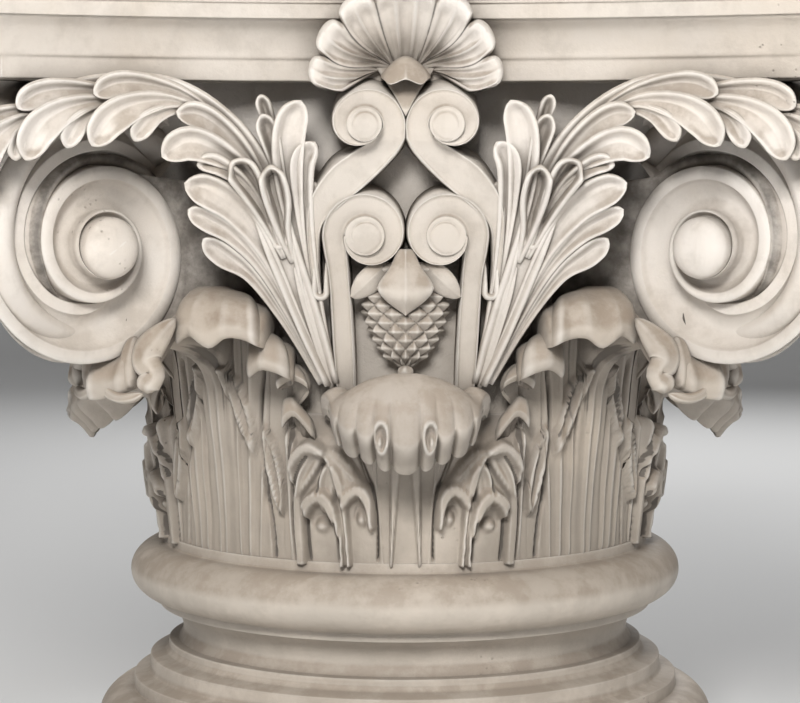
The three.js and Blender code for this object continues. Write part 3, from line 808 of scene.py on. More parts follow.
def cap_leaf(points, bulge_height=9, midrib=1.8, rows=26, across=17, wall=6):
    """A convex leaf through control points of x, z, lift and half width, pointed at its tip."""
    path = through(points, rows)
    direction = np.gradient(path[:, :2], axis=0)
    direction /= np.maximum(np.linalg.norm(direction, axis=1, keepdims=True), 1e-9)
    u = np.linspace(-1, 1, across)[None, :]
    half = np.maximum(path[:, 3:4], 0.05)
    x = path[:, 0:1] - direction[:, 1:2] * half * u
    z = path[:, 1:2] + direction[:, 0:1] * half * u
    curve = bulge_height * (1 - u**2) * np.clip(half / 20, 0.2, 1)
    top = path[:, 2:3] + curve + midrib * np.exp(-((half * u / 1.4) ** 2)) - 0.8 * (np.abs(u) > 0.97)
    under = top - wall
    grid = on_ground(np.concatenate([x, x[:, ::-1]], 1), np.concatenate([z, z[:, ::-1]], 1),
                     np.concatenate([top, under[:, ::-1]], 1))
    return capped(grid), np.zeros((rows + 2, 2 * across))


# %% Lower scrolls
LOWER_EYE = np.array([36.0, 536.0])
stem_outer = through([(61, 392), (64, 430), (66, 470), (68, 500), (71.5, 522)], 26)
stem_inner = through([(46, 392), (47, 430), (49, 470), (51, 500), (52.5, 522)], 26)
round_outer, round_inner = coil_edges(
    LOWER_EYE, [-12, 45, 90, 135, 180, 225, 270, 315, 360], [37.2, 37.5, 37, 36, 34, 30, 25.5, 21, 18],
    [18, 17, 16.4, 16, 15.6, 15.2, 14.8, 14.5, 14])
lower_far = np.concatenate([stem_inner, round_inner])
lower_near = np.concatenate([stem_outer, round_outer])
lower_lift = np.concatenate([np.linspace(6, 21, 26), np.linspace(21.2, 30, COIL_STEPS)])
lower_sink = np.concatenate([np.full(26, 5.0), np.linspace(5.5, 0.2, COIL_STEPS)])
lower_scroll = ribbon(lower_near, lower_far, lower_lift, rim=0.10, sink=lower_sink, climb=9)
lower_eye = eye_disc(LOWER_EYE, 17.5, 30)

# %% Upper scrolls
UPPER_EYE = np.array([36.0, 634.0])
cross_far = [(82, 486), (86, 520), (87, 548), (82, 572), (66, 595), (50, 607), (41, 613), (30, 619)]
cross_near = [(77, 486), (78, 520), (74, 546), (58, 562), (40, 577), (24, 592), (8.5, 609), (0.8, 622)]
top_outer, top_inner = coil_edges(
    UPPER_EYE, [190, 135, 90, 45, 0, -45, -90, -135], [36.3, 33.2, 30, 28.4, 27.6, 23, 17.5, 15.5],
    [16, 15.4, 15, 14.8, 14.6, 14.4, 14.2, 14])
upper_near = np.concatenate([through(cross_near, 40), top_outer])
upper_far = np.concatenate([through(cross_far, 40), top_inner])
upper_lift = np.concatenate([np.linspace(12, 31, 40), np.linspace(31.3, 42, COIL_STEPS)])
upper_sink = np.concatenate([np.full(40, 3.0), np.linspace(4.0, 0.2, COIL_STEPS)])
upper_scroll = ribbon(upper_near, upper_far, upper_lift, rim=0.10, sink=upper_sink, wall=46, climb=16)
upper_eye = eye_disc(UPPER_EYE, 15.4, 42)
# A flat web fills the fork where the upper scrolls of both halves meet.
web = cap_leaf([(0, 684, 11, 26), (0, 672, 19, 18), (0, 661, 26, 11), (0, 648, 31, 4), (0, 641, 30, 0)],
               bulge_height=2, midrib=0.0, rows=24, across=15, wall=18)

scroll_parts = [lower_scroll, lower_eye, upper_scroll, upper_eye, web]
scrolls = mesh_piece("inner_scrolls", on_halves([g for g, _ in scroll_parts]),
                     dirt_and_shade_on_halves([d for _, d in scroll_parts]))

# %% [markdown]
# The shell and its knob
#
# A scallop shell breaks the middle of the abacus. Its surface is a fan: angle by distance from the root.
# Seven lobes are parted by drilled channels, each lobe holds paired flutes, and its end is round. The
# flutes bend, because near the root every angle is drawn away from the upright. The knob is a small soft
# beak over the root, with a faint ridge down its middle.

# %% Shell
SHELL_ROOT = 664
SHELL_DEPTH = 316
LOBE_EDGES = [1, 22, 46, 70.5, 109.5, 134, 158, 179]


def shell_grid():
    """Front and back of the fan. Each lobe is a share from 0 to 1 between two channels."""
    lobe_share = np.linspace(0, 1, 19)
    lows, highs = np.array(LOBE_EDGES[:-1])[:, None], np.array(LOBE_EDGES[1:])[:, None]
    ends = (lows + (highs - lows) * lobe_share).reshape(-1)
    share = np.broadcast_to(lobe_share, (7, 19)).reshape(-1)
    wide = np.broadcast_to((highs - lows), (7, 19)).reshape(-1) > 30
    out = np.linspace(0.1, 1, 30)[:, None]
    angle = 90 - (90 - ends[None, :]) * (1 + 0.5 * (1 - out) ** 1.2)
    angle = np.radians(np.clip(angle, -6, 186))
    round_end = (1 - np.abs(2 * share - 1) ** 2.6) ** 0.5
    reach = (81 + 10 * np.sin(np.radians(np.clip(ends, 0, 180)))) * (0.86 + 0.14 * round_end)
    radius = out * reach[None, :]
    channel = np.exp(-((np.minimum(share, 1 - share) / 0.055) ** 2))
    flutes = np.where(wide, 3, 2)
    flute = np.abs(np.sin(np.pi * share * flutes)) ** 0.8
    depth = SHELL_DEPTH - 40 + 56 * smooth(0.0, 0.92, out) + 4 * smooth(0.8, 1, out)
    relief = -8 * smooth(0.15, 0.45, out) * flute[None, :] * (1 - 0.9 * smooth(0.78, 0.94, out))
    relief = relief - 11 * channel[None, :] * smooth(0.1, 0.3, out)
    raised = 20 * (1 - smooth(0.25, 1.0, out)) * np.cos(angle) ** 2
    above = SHELL_ROOT + radius * np.sin(angle) + raised
    front = np.stack([radius * np.cos(angle), -(depth + relief), above], axis=-1)
    edge = front[-1:]
    lip = edge + [0, 5, 0] + (edge - [0, 0, SHELL_ROOT]) * [0.035, 0, 0.035]
    back = lip * [1.0, 0, 1.0] - [0, SHELL_DEPTH - 52, 0]
    inner_back = back * [0.2, 1, 0.2] + [0, 0, (SHELL_ROOT + 20) * 0.8]
    grid = np.concatenate([front, lip, back, inner_back])
    # Painted shade and soiling in the flutes and the drilled channels; the lip is clean and the back is
    # painted dark as shade.
    flute_dirt_and_shade = 0.34 * flute[None, :] * smooth(0.1, 0.4, out) * (1 - smooth(0.8, 0.94, out))
    dirt_and_shade = flute_dirt_and_shade + 0.8 * channel[None, :] * smooth(0.1, 0.35, out)
    dirt_and_shade = np.concatenate([dirt_and_shade, np.zeros((1, dirt_and_shade.shape[1])), np.full((2, dirt_and_shade.shape[1]), 0.4)])
    # One more column at each end stands at the back, so the fan closes behind and not across its front.
    behind_all = np.array([0, SHELL_DEPTH - 54, 0])
    ends = [grid[:, [k]] * [1, 0, 1] - behind_all for k in (0, -1)]
    grid = np.concatenate([ends[0], grid, ends[1]], axis=1)
    return grid, np.concatenate([dirt_and_shade[:, :1], dirt_and_shade, dirt_and_shade[:, -1:]], axis=1)


def knob():
    """A beak. Each loop stands at one place across: down the front, over the lip and back along the roof.

    The front bulges as the square root of the share down, with a soft ridge down the middle.
    """
    across = np.sin(np.linspace(-1, 1, 41) * math.pi / 2)[:, None]
    t = np.linspace(0, 1, 18)[None, :]
    top = SHELL_ROOT + 30 - 17 * np.abs(across) ** 1.7
    lip = SHELL_ROOT + 8 - 4 * smooth(0, 0.6, np.abs(across)) + 6 * smooth(0.6, 1, np.abs(across))
    reach = 26 * (1 - across**2) ** 0.5 + 2.5 * np.exp(-((across / 0.12) ** 2)) * smooth(0.2, 0.8, t)
    front = np.stack([22 * across + 0 * t, SHELL_DEPTH - 18 + reach * t**0.5, mix(top, lip, t)], axis=-1)
    under = np.linspace(0, 1, 6)[None, 1:]
    roof = np.stack([22 * across + 0 * under, SHELL_DEPTH - 18 + reach[:, -1:] * (0.97 - under),
                     lip + 0.8 + 5 * np.sin(math.pi * under / 2) * (1 - across**2)], axis=-1)
    back = np.stack([22 * across, 0 * across + SHELL_DEPTH - 40, top - 2], axis=-1)
    loops = np.concatenate([front, roof, back], axis=1) * [1, -1, 1]
    # Painted shade under the beak and on its back.
    dirt_and_shade = np.concatenate([0 * front[..., 0], 0.9 + 0 * roof[..., 0], 0.5 + 0 * back[..., 0]], axis=1)
    return capped(loops), np.concatenate([dirt_and_shade[:1], dirt_and_shade, dirt_and_shade[-1:]])


shell_points, shell_dirt_and_shade = shell_grid()
shells = mesh_piece("shells", on_faces([shell_points]), [shell_dirt_and_shade] * 4, wrap_columns=True)
knob_points, knob_shade = knob()
knobs = mesh_piece("knobs", on_faces([knob_points]), [knob_shade] * 4)

# %% [markdown]
# Leaves with rolled lips
#
# A leaf of acanthus climbs the bell, leans out, and its lip rolls over and hangs. The section along one ray
# of the leaf is a closed loop: up the stem, along the hollow underside, round the lip, over the crest and
# back into the bell. A leaf is a row of such loops from one edge to the other. Each ray has its own reach,
# crest and lip, and where neighbouring rays differ the edge ruffles into separate lobes by itself.

# %% Rays
# Azimuth at the foot and at the lip in degrees from the midrib, reach, height of the crest and of the lip.
corner_rays = [
    (0, 0, 394, 446, 390), (1.4, 2.2, 390, 447, 393), (3.0, 4.2, 382, 452, 398),
    (4.0, 5.2, 362, 462, 408), (4.7, 5.9, 330, 478, 446), (5.3, 6.6, 320, 485, 452),
    (6.1, 7.6, 340, 489, 440), (7.6, 10.4, 341, 490, 447), (9.0, 13.4, 338, 490, 437),
    (10.2, 16.2, 335, 487, 446), (11.0, 18.4, 328, 484, 445), (11.8, 20.8, 322, 478, 439),
    (12.6, 19.4, 284, 456, 430), (13.4, 16.4, 297, 447, 409), (14.7, 20.2, 306, 450, 417),
    (16.0, 24.4, 297, 441, 408), (16.8, 21.8, 264, 412, 400), (17.6, 20.4, 278, 420, 398),
    (18.2, 23.4, 280, 424, 406), (18.7, 26.2, 273, 412, 396), (19.1, 22.6, 254, 388, 380),
    (19.5, 19.8, 263, 385, 361), (19.9, 22.6, 266, 389, 372), (20.4, 26.4, 259, 374, 349),
]
centre_rays = [
    (0, 0, 337, 415, 331), (1.5, 2.8, 336.5, 414.5, 333), (2.9, 5.2, 334, 412, 338),
    (4.1, 7.6, 330, 409, 342), (5.1, 9.8, 324, 405, 346), (5.9, 11.8, 314, 400, 352),
    (6.5, 13.6, 300, 396, 364), (7.0, 15.4, 290, 400, 378), (7.5, 17.0, 276, 399, 372),
]
# Radius of the stem under the lip, of what is hidden inside the bell, and of the stem at its foot.
STEM, HIDDEN, LEAF_FOOT = 250, 214, 239
print(len(corner_rays), "rays in half a corner leaf,", len(centre_rays), "in half a centre leaf")


def leaf_sections(rays, columns, places):
    """Closed loops of azimuth, radius and height for each column from one edge of a leaf to the other.

    The rays of one half are mirrored to the other, and a smooth curve runs across all of them. In each
    column another smooth curve runs through the corners of the section, which are shares of the ray.
    """
    half = np.array(rays, dtype=float)
    other = half[:0:-1] * [-1, -1, 1, 1, 1]
    foot, tip, reach, crest, lip = np.moveaxis(through(np.concatenate([other, half]), columns), -1, 0)
    spread, climb, roll = reach - STEM, crest - collar_top, crest - lip
    low = collar_top - 6
    wall = np.minimum(7.5, 0.3 * spread)
    corners = [
        (0.00, LEAF_FOOT + 0 * lip, low + 0 * lip), (0.10, LEAF_FOOT + 1.5 + 0 * lip, mix(low, lip, 0.25)),
        (0.28, LEAF_FOOT + 4 + 0 * lip, mix(low, lip, 0.55)),
        (0.50, 246 + 0.02 * spread, mix(low, lip, 0.82)),
        (0.66, STEM + 0.03 * spread, lip + 0.12 * roll), (0.76, STEM + 0.14 * spread, lip + 0.50 * roll),
        (0.86, STEM + 0.40 * spread, lip + 0.74 * roll),
        (0.94, STEM + 0.72 * spread - 0.5 * wall, lip + 0.62 * roll),
        (1.00, reach - wall - 2, lip + 0.28 * roll), (1.00, reach - wall, lip + 2),
        (1.00, reach - 0.45 * wall, lip - 1.0), (1.00, reach + 0.5, lip + 3.5),
        (1.00, reach + 0.5, lip + 0.36 * roll), (0.90, STEM + 0.88 * spread, lip + 0.78 * roll),
        (0.62, STEM + 0.55 * spread, crest + 0 * lip), (0.34, STEM + 0.20 * spread, crest - 0.07 * climb),
        (0.15, STEM - 12 + 0 * lip, crest - 0.15 * climb), (0.05, HIDDEN + 0 * lip, crest - 0.20 * climb),
    ]
    turn = np.array([c[0] for c in corners])[None, :] * np.ones((columns, 1))
    radii, heights = (np.stack([c[k] for c in corners], 1) for k in (1, 2))
    loops = through(np.stack([turn, radii, heights], axis=-1), places)
    azimuth = foot[:, None] + loops[..., 0] * (tip - foot)[:, None]
    share = np.broadcast_to(places, azimuth.shape)
    return azimuth, loops[..., 1], loops[..., 2], share


def closed_leaf(azimuth, radius, height, middle):
    """Loops as points, closed along the inside of the bell by two more points each."""
    azimuth = np.concatenate([azimuth, azimuth[:, -1:], azimuth[:, :1]], axis=1)
    radius = np.concatenate([radius, radius[:, -1:] * 0 + HIDDEN, radius[:, :1] * 0 + HIDDEN], axis=1)
    height = np.concatenate([height, mix(height[:, -1:], height[:, :1], 0.5), height[:, :1]], axis=1)
    return capped(polar(azimuth + middle, radius, height))


def for_caps(values):
    """The painted darkening of a leaf, soiling and painted shade, extended by dark shade for the two closing
    columns of points and by copies for the two capping rings.
    """
    values = np.concatenate([values, np.full((len(values), 2), 0.8)], axis=1)
    return np.concatenate([values[:1], values, values[-1:]])


# %% [markdown]
# Relief drawn on a surface
#
# Ribs, drilled channels and small folded petals are not separate bodies. They are heights added to a
# surface, looked up from how far each point is from a line drawn on it. A petal is the union of discs along
# its line, so its ends are round, and it has the same rim and bowl as the spoon. A channel is a narrow
# trough, and it also marks its points to be painted dark, as shade in the channel.

# %% Relief
ARC = 4.3  # parts along the surface for one degree of azimuth


def nearest(azimuth, height, line, count=40):
    """How far each point of a grid lies inside the widest disc along a line of azimuth, height and width.

    Also the plain distance from the line, and the share across it, from -1 on its right to 1 on its left.
    """
    path = through(line, count)
    shape = azimuth.shape
    a, z = azimuth.reshape(-1, 1) * ARC, height.reshape(-1, 1)
    off_a, off_z = a - path[None, :, 0] * ARC, z - path[None, :, 1]
    distance = np.hypot(off_a, off_z)
    step = np.gradient(path[:, :2] * [ARC, 1], axis=0)
    step /= np.maximum(np.linalg.norm(step, axis=1, keepdims=True), 1e-9)
    closest = distance.argmin(axis=1)
    row = np.arange(len(closest))
    left = step[closest, 0] * off_z[row, closest] - step[closest, 1] * off_a[row, closest]
    across = np.clip(left / np.maximum(path[closest, 2], 1e-3), -1, 1)
    return ((path[None, :, 2] - distance).max(axis=1).reshape(shape), distance.min(axis=1).reshape(shape),
            across.reshape(shape))


def petal(azimuth, height, line, lift=6, rim=2.4, swell=2.0, bowl=5.0, lean=0.0):
    """Height of a petal: a steep edge, a round rim, then a smooth sink into the bowl. Nought outside.

    lean favours the left (1) or the right (-1) of the line: the rim is tall there and the bowl is deepest.
    """
    inside, _, across = nearest(azimuth, height, line)
    favour = (1 + lean * across) / (1 + abs(lean))
    ridge = swell * np.sqrt(1 - np.clip(1 - np.maximum(inside, 0) / rim, 0, 1) ** 2)
    sunk = (swell + bowl * favour) * smooth(rim * (0.4 + 0.6 * favour), 3.4 * rim, inside) * (bowl > 0)
    raised = (lift + ridge) * (1 - 0.55 * abs(lean) * (1 - favour)) - sunk
    raised = raised * smooth(-0.3, 0.9, inside + 0.3)
    return np.where(inside > 0, raised, lift * smooth(-1.6, 0, inside)), inside


def channel(azimuth, height, line, width=1.5, depth=6):
    """A drilled channel: depth times a bell curve of the distance from its line. Fades at its ends."""
    line = [(a, z, 0) for a, z in line]
    _, distance, _ = nearest(azimuth, height, line, 64)
    trough = np.exp(-((distance / width) ** 2))
    return -depth * trough, np.exp(-((distance / (1.25 * width)) ** 4))


def rib(foot_azimuth, at, width, height):
    """A thin rib that follows the rays of a leaf, as a bell curve of the azimuth at the foot."""
    return height * np.exp(-(((np.abs(foot_azimuth) - at) / width) ** 2))


# %% [markdown]
# The corner leaves
#
# A corner leaf stands under each pair of volutes. Its stem is fluted between flat bands, folded petals lie
# on each side of it, and drilled channels part its lobes. All of this is a height added to the radius of
# the loops, and it fades where the stem turns into the underside of the lip.

# %% Corner leaves
# Most rows go to the stem, where the relief is finest.
section_places = np.concatenate([np.linspace(0, 4.4, 50, endpoint=False), np.linspace(4.4, 17, 40)])
azimuth, radius, height, share = leaf_sections(corner_rays, 200, section_places)
foot_azimuth = azimuth[:, :1] * np.ones_like(azimuth)
on_stem = smooth(0.0, 0.2, share) * (1 - smooth(5.2, 7.0, share))
on_curl = smooth(8.5, 10.5, share) * (1 - smooth(14.2, 16.6, share))
away = np.abs(azimuth)

# Azimuths at the foot: where one band of the stem ends and the next begins, and the ribs with their heights.
bands = np.array([-1.3, 1.3, 2.6, 4.6, 7.2, 8.4, 10.6, 12.4, 14.4, 16.8, 18.4, 20.5])
stem_ribs = [(1.0, 3.0), (5.6, 3.4), (8.3, 3.6), (10.9, 2.4)]
foot_away = np.clip(np.abs(foot_azimuth), 0, 20.3)
band = np.clip(np.searchsorted(bands, foot_away, side="right") - 1, 0, len(bands) - 2)
within = (foot_away - bands[band]) / (bands[band + 1] - bands[band])
flute = np.sqrt(np.clip(1 - np.abs(2 * within - 1) ** 2.2, 0, 1))
sunken = np.array([0, 1, 0, 1, 0, 1, 0, 0, 1, 0, 1])[band]
push = 0.4 * (4.2 - 2.4 * sunken) * (flute - 0.55)
for at, rise in stem_ribs:
    push = push + rib(foot_azimuth, at, 0.42, 1.3 * rise) - rib(foot_azimuth, at + 0.95, 0.34, 0.9 * rise)
push = push * (0.55 + 0.45 * smooth(240, 330, height))
# Painted shade and soiling between the flutes of the stem and in the groove beside each rib.
rib_dirt_and_shade = 0.3 * (1 - flute) * smooth(0.3, 0.9, 1 - flute)
for at, _ in stem_ribs:
    rib_dirt_and_shade = rib_dirt_and_shade + rib(foot_azimuth, at + 0.95, 0.34, 0.35)
upper_fold = [(4.0, 408, 4), (6.2, 388, 7.5), (8.4, 362, 7.5), (10.1, 338, 3)]
lower_fold = [(13.9, 352, 3.5), (15.4, 326, 7), (16.6, 300, 6.5), (17.4, 282, 2.5)]
twist_a, inside_a = petal(away, height, upper_fold, 7)
twist_b, inside_b = petal(away, height, lower_fold, 7)
folded = np.maximum(twist_a, twist_b)
push = np.where(np.maximum(inside_a, inside_b) > 0, folded, np.maximum(push, folded))
# Each channel: its line in azimuth and height, its width, its depth and how dark it is painted, as shade.
corner_channels = [
    ([(13.6, 412), (12.3, 380), (12.1, 348), (13.1, 302), (14.0, 276), (14.8, 239)], 1.7, 8, 1.0),
    ([(20.2, 366), (21.2, 350), (20.6, 326), (19.8, 292), (20.0, 241)], 1.5, 7, 1.0),
    ([(5.4, 404), (7.9, 378), (10.2, 350)], 1.3, 4, 0.6),
    ([(14.6, 346), (16.0, 318), (17.2, 292)], 1.3, 4, 0.6),
]
# drilled gathers how dark the channels are painted, as shade in them.
drilled = np.zeros_like(push)
for line, width, depth, dark in corner_channels:
    trough, channel_shade = channel(away, height, line, width, depth)
    push = push + trough
    drilled = drilled + dark * channel_shade
push = push * on_stem
tip_away = np.abs(azimuth[:, [np.searchsorted(section_places, 10)]]) * np.ones_like(azimuth)
creases = sum(np.exp(-np.abs(tip_away - at) / 0.9) for at in (11.4, 16.2, 20.8, 20.2, 23.4))
fingers = 2.2 * (creases - 0.35) * smooth(9.6, 11.4, tip_away) * on_curl
midrib = (5.0 * np.exp(-((azimuth / 0.9) ** 2)) - 3.0 * np.exp(-(((away - 2.4) / 0.8) ** 2))) * on_curl
veins = -1.8 * np.exp(-(((np.abs(foot_azimuth) - 4.4) / 0.5) ** 2)) * on_curl
grid_wave = waver(radius * np.cos(np.radians(azimuth)), radius * np.sin(np.radians(azimuth)) * 2, height * 2)
leaf_radius = radius + push + fingers + midrib + veins + 0.8 * grid_wave
# How dark the corner leaf is painted: the ribs and channels, painted shade under the lip, and a band of
# painted shade on the stem under the cap, near the midrib.
corner_dirt_and_shade = (rib_dirt_and_shade * on_stem + 0.95 * np.clip(drilled, 0, 1) * on_stem
               + 0.35 * smooth(4, 5.5, share) * (1 - smooth(9, 10.5, share))
               + 0.42 * smooth(320, 385, height) * (1 - smooth(5, 6.5, share)) * (1 - smooth(9, 12.5, away)))
corner_leaf = closed_leaf(azimuth, leaf_radius, height, 45)
corner_leaves = mesh_piece("corner_leaves", on_faces([corner_leaf]), [for_caps(corner_dirt_and_shade)] * 4)


# %% [markdown]
# Petals beside the lip
#
# Where the lip of a corner leaf meets the volutes, thick petals twist past each other. Each is an ellipse
# carried along a path, which also gives its width and thickness at each point. That keeps it smooth all
# round, and a crease down its outer side stands for the fold that a carver would cut.


# %% Twisted petals
def twisted_petal(points, rows=26, around=20, crease=0.25):
    """A thick petal through control points of azimuth, radius, height, half width and half thickness.

    Each ring is an ellipse square to the path, and its outer side carries a soft crease along the middle.
    """
    path = through(points, rows)
    place = polar(path[:, 0], path[:, 1], path[:, 2])
    direction = np.gradient(place, axis=0)
    direction /= np.linalg.norm(direction, axis=1, keepdims=True)
    outward = polar(path[:, 0], 1.0, 0 * path[:, 2])
    across = np.cross(direction, outward)
    across /= np.linalg.norm(across, axis=1, keepdims=True)
    proud = np.cross(across, direction)
    a = np.linspace(0, 2 * math.pi, around, endpoint=False)[None, :]
    ends = np.sqrt(np.clip(1 - np.linspace(-1, 1, rows) ** 6, 0.02, 1))[:, None]
    wide = path[:, 3:4] * ends * np.cos(a)
    thick = path[:, 4:5] * ends * (np.sin(a) - crease * np.exp(-((np.cos(a) / 0.3) ** 2)) * (np.sin(a) > 0))
    ring = place[:, None] + across[:, None] * wide[..., None] + proud[:, None] * thick[..., None]
    # The ends are painted darker, as shade where the petal tucks in.
    return capped(ring), 0.5 * (1 - ends[[0, *range(rows), -1]]) * np.ones((1, around))


# Azimuth, radius, height, half width and half thickness at each point of each petal.
petal_paths = [
    [(36.2, 346, 462, 6, 9), (37.4, 360, 447, 12, 11), (38.2, 369, 434, 15, 12), (37.9, 372, 423, 14, 12),
     (36.7, 371, 414, 9, 10), (37.4, 375, 405, 12, 10), (37.7, 374, 397, 8, 7)],
    [(42.6, 372, 442, 4, 6), (44.0, 381, 422, 5.5, 7), (44.2, 384, 406, 6, 7), (43.0, 385, 396, 5.5, 7),
     (41.0, 384, 392, 5, 6), (39.2, 381, 393.5, 5, 6), (37.9, 378, 397, 3.5, 5)],
    [(41.2, 366, 446, 8, 8), (41.0, 374, 424, 10, 9), (40.8, 376, 408, 9, 8), (40.2, 376, 400, 5, 6)],
]
twisted = [twisted_petal(path) for path in petal_paths]
lip_petals = mesh_piece("lip_petals", on_halves([g for g, _ in twisted]),
                        dirt_and_shade_on_halves([d for _, d in twisted]))

# %% [markdown]
# The centre leaves
#
# The leaf in the middle of a face is made of the same loops with other rays. Its lip hangs in rounded puffs
# with grooves between them, and two drilled drops, each with a bead in it, mark its front. A spike and a
# rib climb its stem.

# %% Centre leaves
# Here most rows go to the front of the lip, for the two drops.
centre_places = np.concatenate([
    np.linspace(0, 4.4, 20, endpoint=False), np.linspace(4.4, 11.2, 22, endpoint=False),
    np.linspace(11.2, 12.9, 26, endpoint=False), np.linspace(12.9, 17, 16)])
azimuth, radius, height, share = leaf_sections(centre_rays, 168, centre_places)
foot_azimuth = azimuth[:, :1] * np.ones_like(azimuth)
away = np.abs(azimuth)
on_stem = smooth(0.0, 0.2, share) * (1 - smooth(5.2, 7.0, share))
on_curl = smooth(8.5, 10.5, share) * (1 - smooth(13.4, 15.6, share))
tip_azimuth = azimuth[:, [np.searchsorted(centre_places, 10)]] * np.ones_like(azimuth)
edges = np.array([-2.3, 2.3, 4.9, 7.7, 11.2, 14.2, 17.5])  # azimuths of the grooves between the puffs
tip_away = np.abs(tip_azimuth)
slot_number = np.clip(np.searchsorted(edges, tip_away, side="right") - 1, 0, len(edges) - 2)
within = (tip_away - edges[slot_number]) / (edges[slot_number + 1] - edges[slot_number])
puff = np.sqrt(np.clip(1 - np.abs(2 * within - 1) ** 2.2, 0, 1))
fading = 1 - smooth(11.4, 13.4, share)
push = 8.5 * (puff - 1) * on_curl * fading
drop = -9.0 * (puff - 0.6) * smooth(8.6, 9.6, share) * (1 - smooth(11.6, 13.0, share))
on_front = smooth(10.6, 11.4, share) * (1 - smooth(13.2, 14.2, share))
off = np.hypot((tip_away - 3.75) / 0.95, (height - 363) / 11.5)
eye = np.exp(-((off / 0.85) ** 6)) * on_front
bead = np.exp(-(((tip_away - 3.9) / 0.42) ** 2) - ((height - 359.5) / 6.5) ** 2) * on_front
ring = np.exp(-(((off - 1.15) / 0.25) ** 2)) * on_front
push = push * (1 - eye) - 8 * eye + 8 * bead + 2.6 * ring
ribs = rib(foot_azimuth, 4.9, 0.3, 1.8)
spike_line = [(3.1, 236, 0.7), (2.7, 275, 2.2), (2.1, 325, 3.6), (1.9, 350, 4.2)]
spike, _ = petal(away, height, spike_line, lift=4.5, rim=2.4, swell=1.5, bowl=0)
push = push + np.maximum(ribs * (0.45 + 0.55 * smooth(240, 330, height)), spike) * on_stem
trough, channel_shade = channel(away, height, [(9.2, 336), (7.4, 314), (6.3, 284), (6.1, 243)], 1.4, 6)
push = push + trough * on_stem
grid_wave = waver(radius * np.cos(np.radians(azimuth)), radius * np.sin(np.radians(azimuth)) * 2, height * 2)
# Painted shade and soiling in the channel, in the drilled drops round their beads and in the grooves between
# the puffs, and painted shade under the lip.
centre_dirt_and_shade = np.clip(0.9 * channel_shade * on_stem + 0.75 * eye * (1 - bead) + 0.45 * (1 - puff) * on_curl * fading
                      + 0.4 * smooth(4, 5.5, share) * (1 - smooth(9, 10.5, share)), 0, 1)
hang = np.clip((height - height[:, [np.searchsorted(centre_places, 10)]]) / 60, 0, 1)
tuck = 19 * (1 - smooth(0, 0.45, hang)) * smooth(7.4, 8.4, share) * (1 - smooth(13, 14, share))
centre_leaf = closed_leaf(azimuth, radius + push - tuck + 0.8 * grid_wave, height + drop, 0)
centre_leaves = mesh_piece("centre_leaves", on_faces([centre_leaf]), [for_caps(centre_dirt_and_shade)] * 4)

# %% [markdown]
# Folded lobes between the leaves
#
# Between a corner leaf and a centre leaf stand the lowest lobes of both. They are low relief on the bell:
# folded petals that overlap, drilled channels that part them, and two small hoods that each roll over a
# pearl. The panel is one fine grid, and every petal is drawn on it in azimuth and height.


# %% Folded lobes
def softened(values):
    """A slight blur of a grid: a quarter, a half and a quarter of three neighbours, by row and by column."""
    values = np.pad(values, 1, mode="edge")
    values = (values[:-2] + 2 * values[1:-1] + values[2:]) / 4
    return (values[:, :-2] + 2 * values[:, 1:-1] + values[:, 2:]) / 4


panel_azimuth = np.linspace(5.0, 27.5, 104)[:, None] * np.ones((1, 72))
panel_height = np.linspace(233, 372, 72)[None, :] * np.ones((104, 1))
base = 239.6 + 0.11 * (panel_height - 236) - 14 * smooth(346, 372, panel_height)
base = base - 9 * smooth(6.2, 5.2, panel_azimuth) - 9 * smooth(25.8, 27.2, panel_azimuth)
petals = [
    # the petal's line: azimuth, height and half width, then its lift, the depth of its bowl, and its lean
    ([(23.2, 224, 4.4), (23.3, 276, 4.6), (23.2, 306, 3.6)], 4, 0, 0),
    ([(24.4, 356, 2.6), (23.9, 334, 4.0), (23.6, 312, 3.0)], 9, 0, 0),
    ([(17.4, 341, 2.4), (15.0, 338, 4.2), (12.2, 326, 4.6), (9.8, 312, 3), (8.4, 302, 1.5)], 8, 5, 0.8),
    ([(16.4, 336, 2.4), (14.6, 327, 4), (12.6, 315, 4.4), (11.0, 305, 2.5)], 11, 5, 0.8),
    ([(23.0, 298, 2.4), (21.8, 312, 6), (20.2, 326, 8), (18.4, 337, 6)], 9, 6, -0.9),
    ([(24.0, 322, 2.5), (22.2, 336, 4.6), (19.6, 343, 5.4), (17.2, 339, 4.4)], 14, 0, 0),
    ([(16.6, 288, 5), (16.7, 304, 8.2), (16.2, 317, 7), (15.7, 328, 1.5)], 9, 3, -0.7),
    ([(13.0, 296, 3), (13.6, 311, 4.4), (14.6, 324, 3.2), (15.4, 328, 1.4)], 12, 0, 0),
    ([(13.7, 226, 1.6), (13.8, 268, 2), (14.6, 290, 2.6)], 8, 0, 0),
    ([(12.2, 226, 1.6), (12.6, 268, 2), (13.2, 296, 2.8)], 7, 0, 0),
    ([(21.3, 280, 2.6), (20.4, 291, 5), (18.0, 298, 6), (15.9, 291, 5.4), (14.7, 277, 3.6), (14.4, 262, 2)],
     13, 0, 0),
    ([(12.9, 290, 2.8), (11.7, 300, 5), (9.7, 305, 5.6), (8.0, 298, 5), (7.4, 286, 3), (7.2, 270, 1.8)],
     13, 0, 0),
]
panel_push = np.zeros_like(base)
panel_dirt_and_shade = np.zeros_like(base)
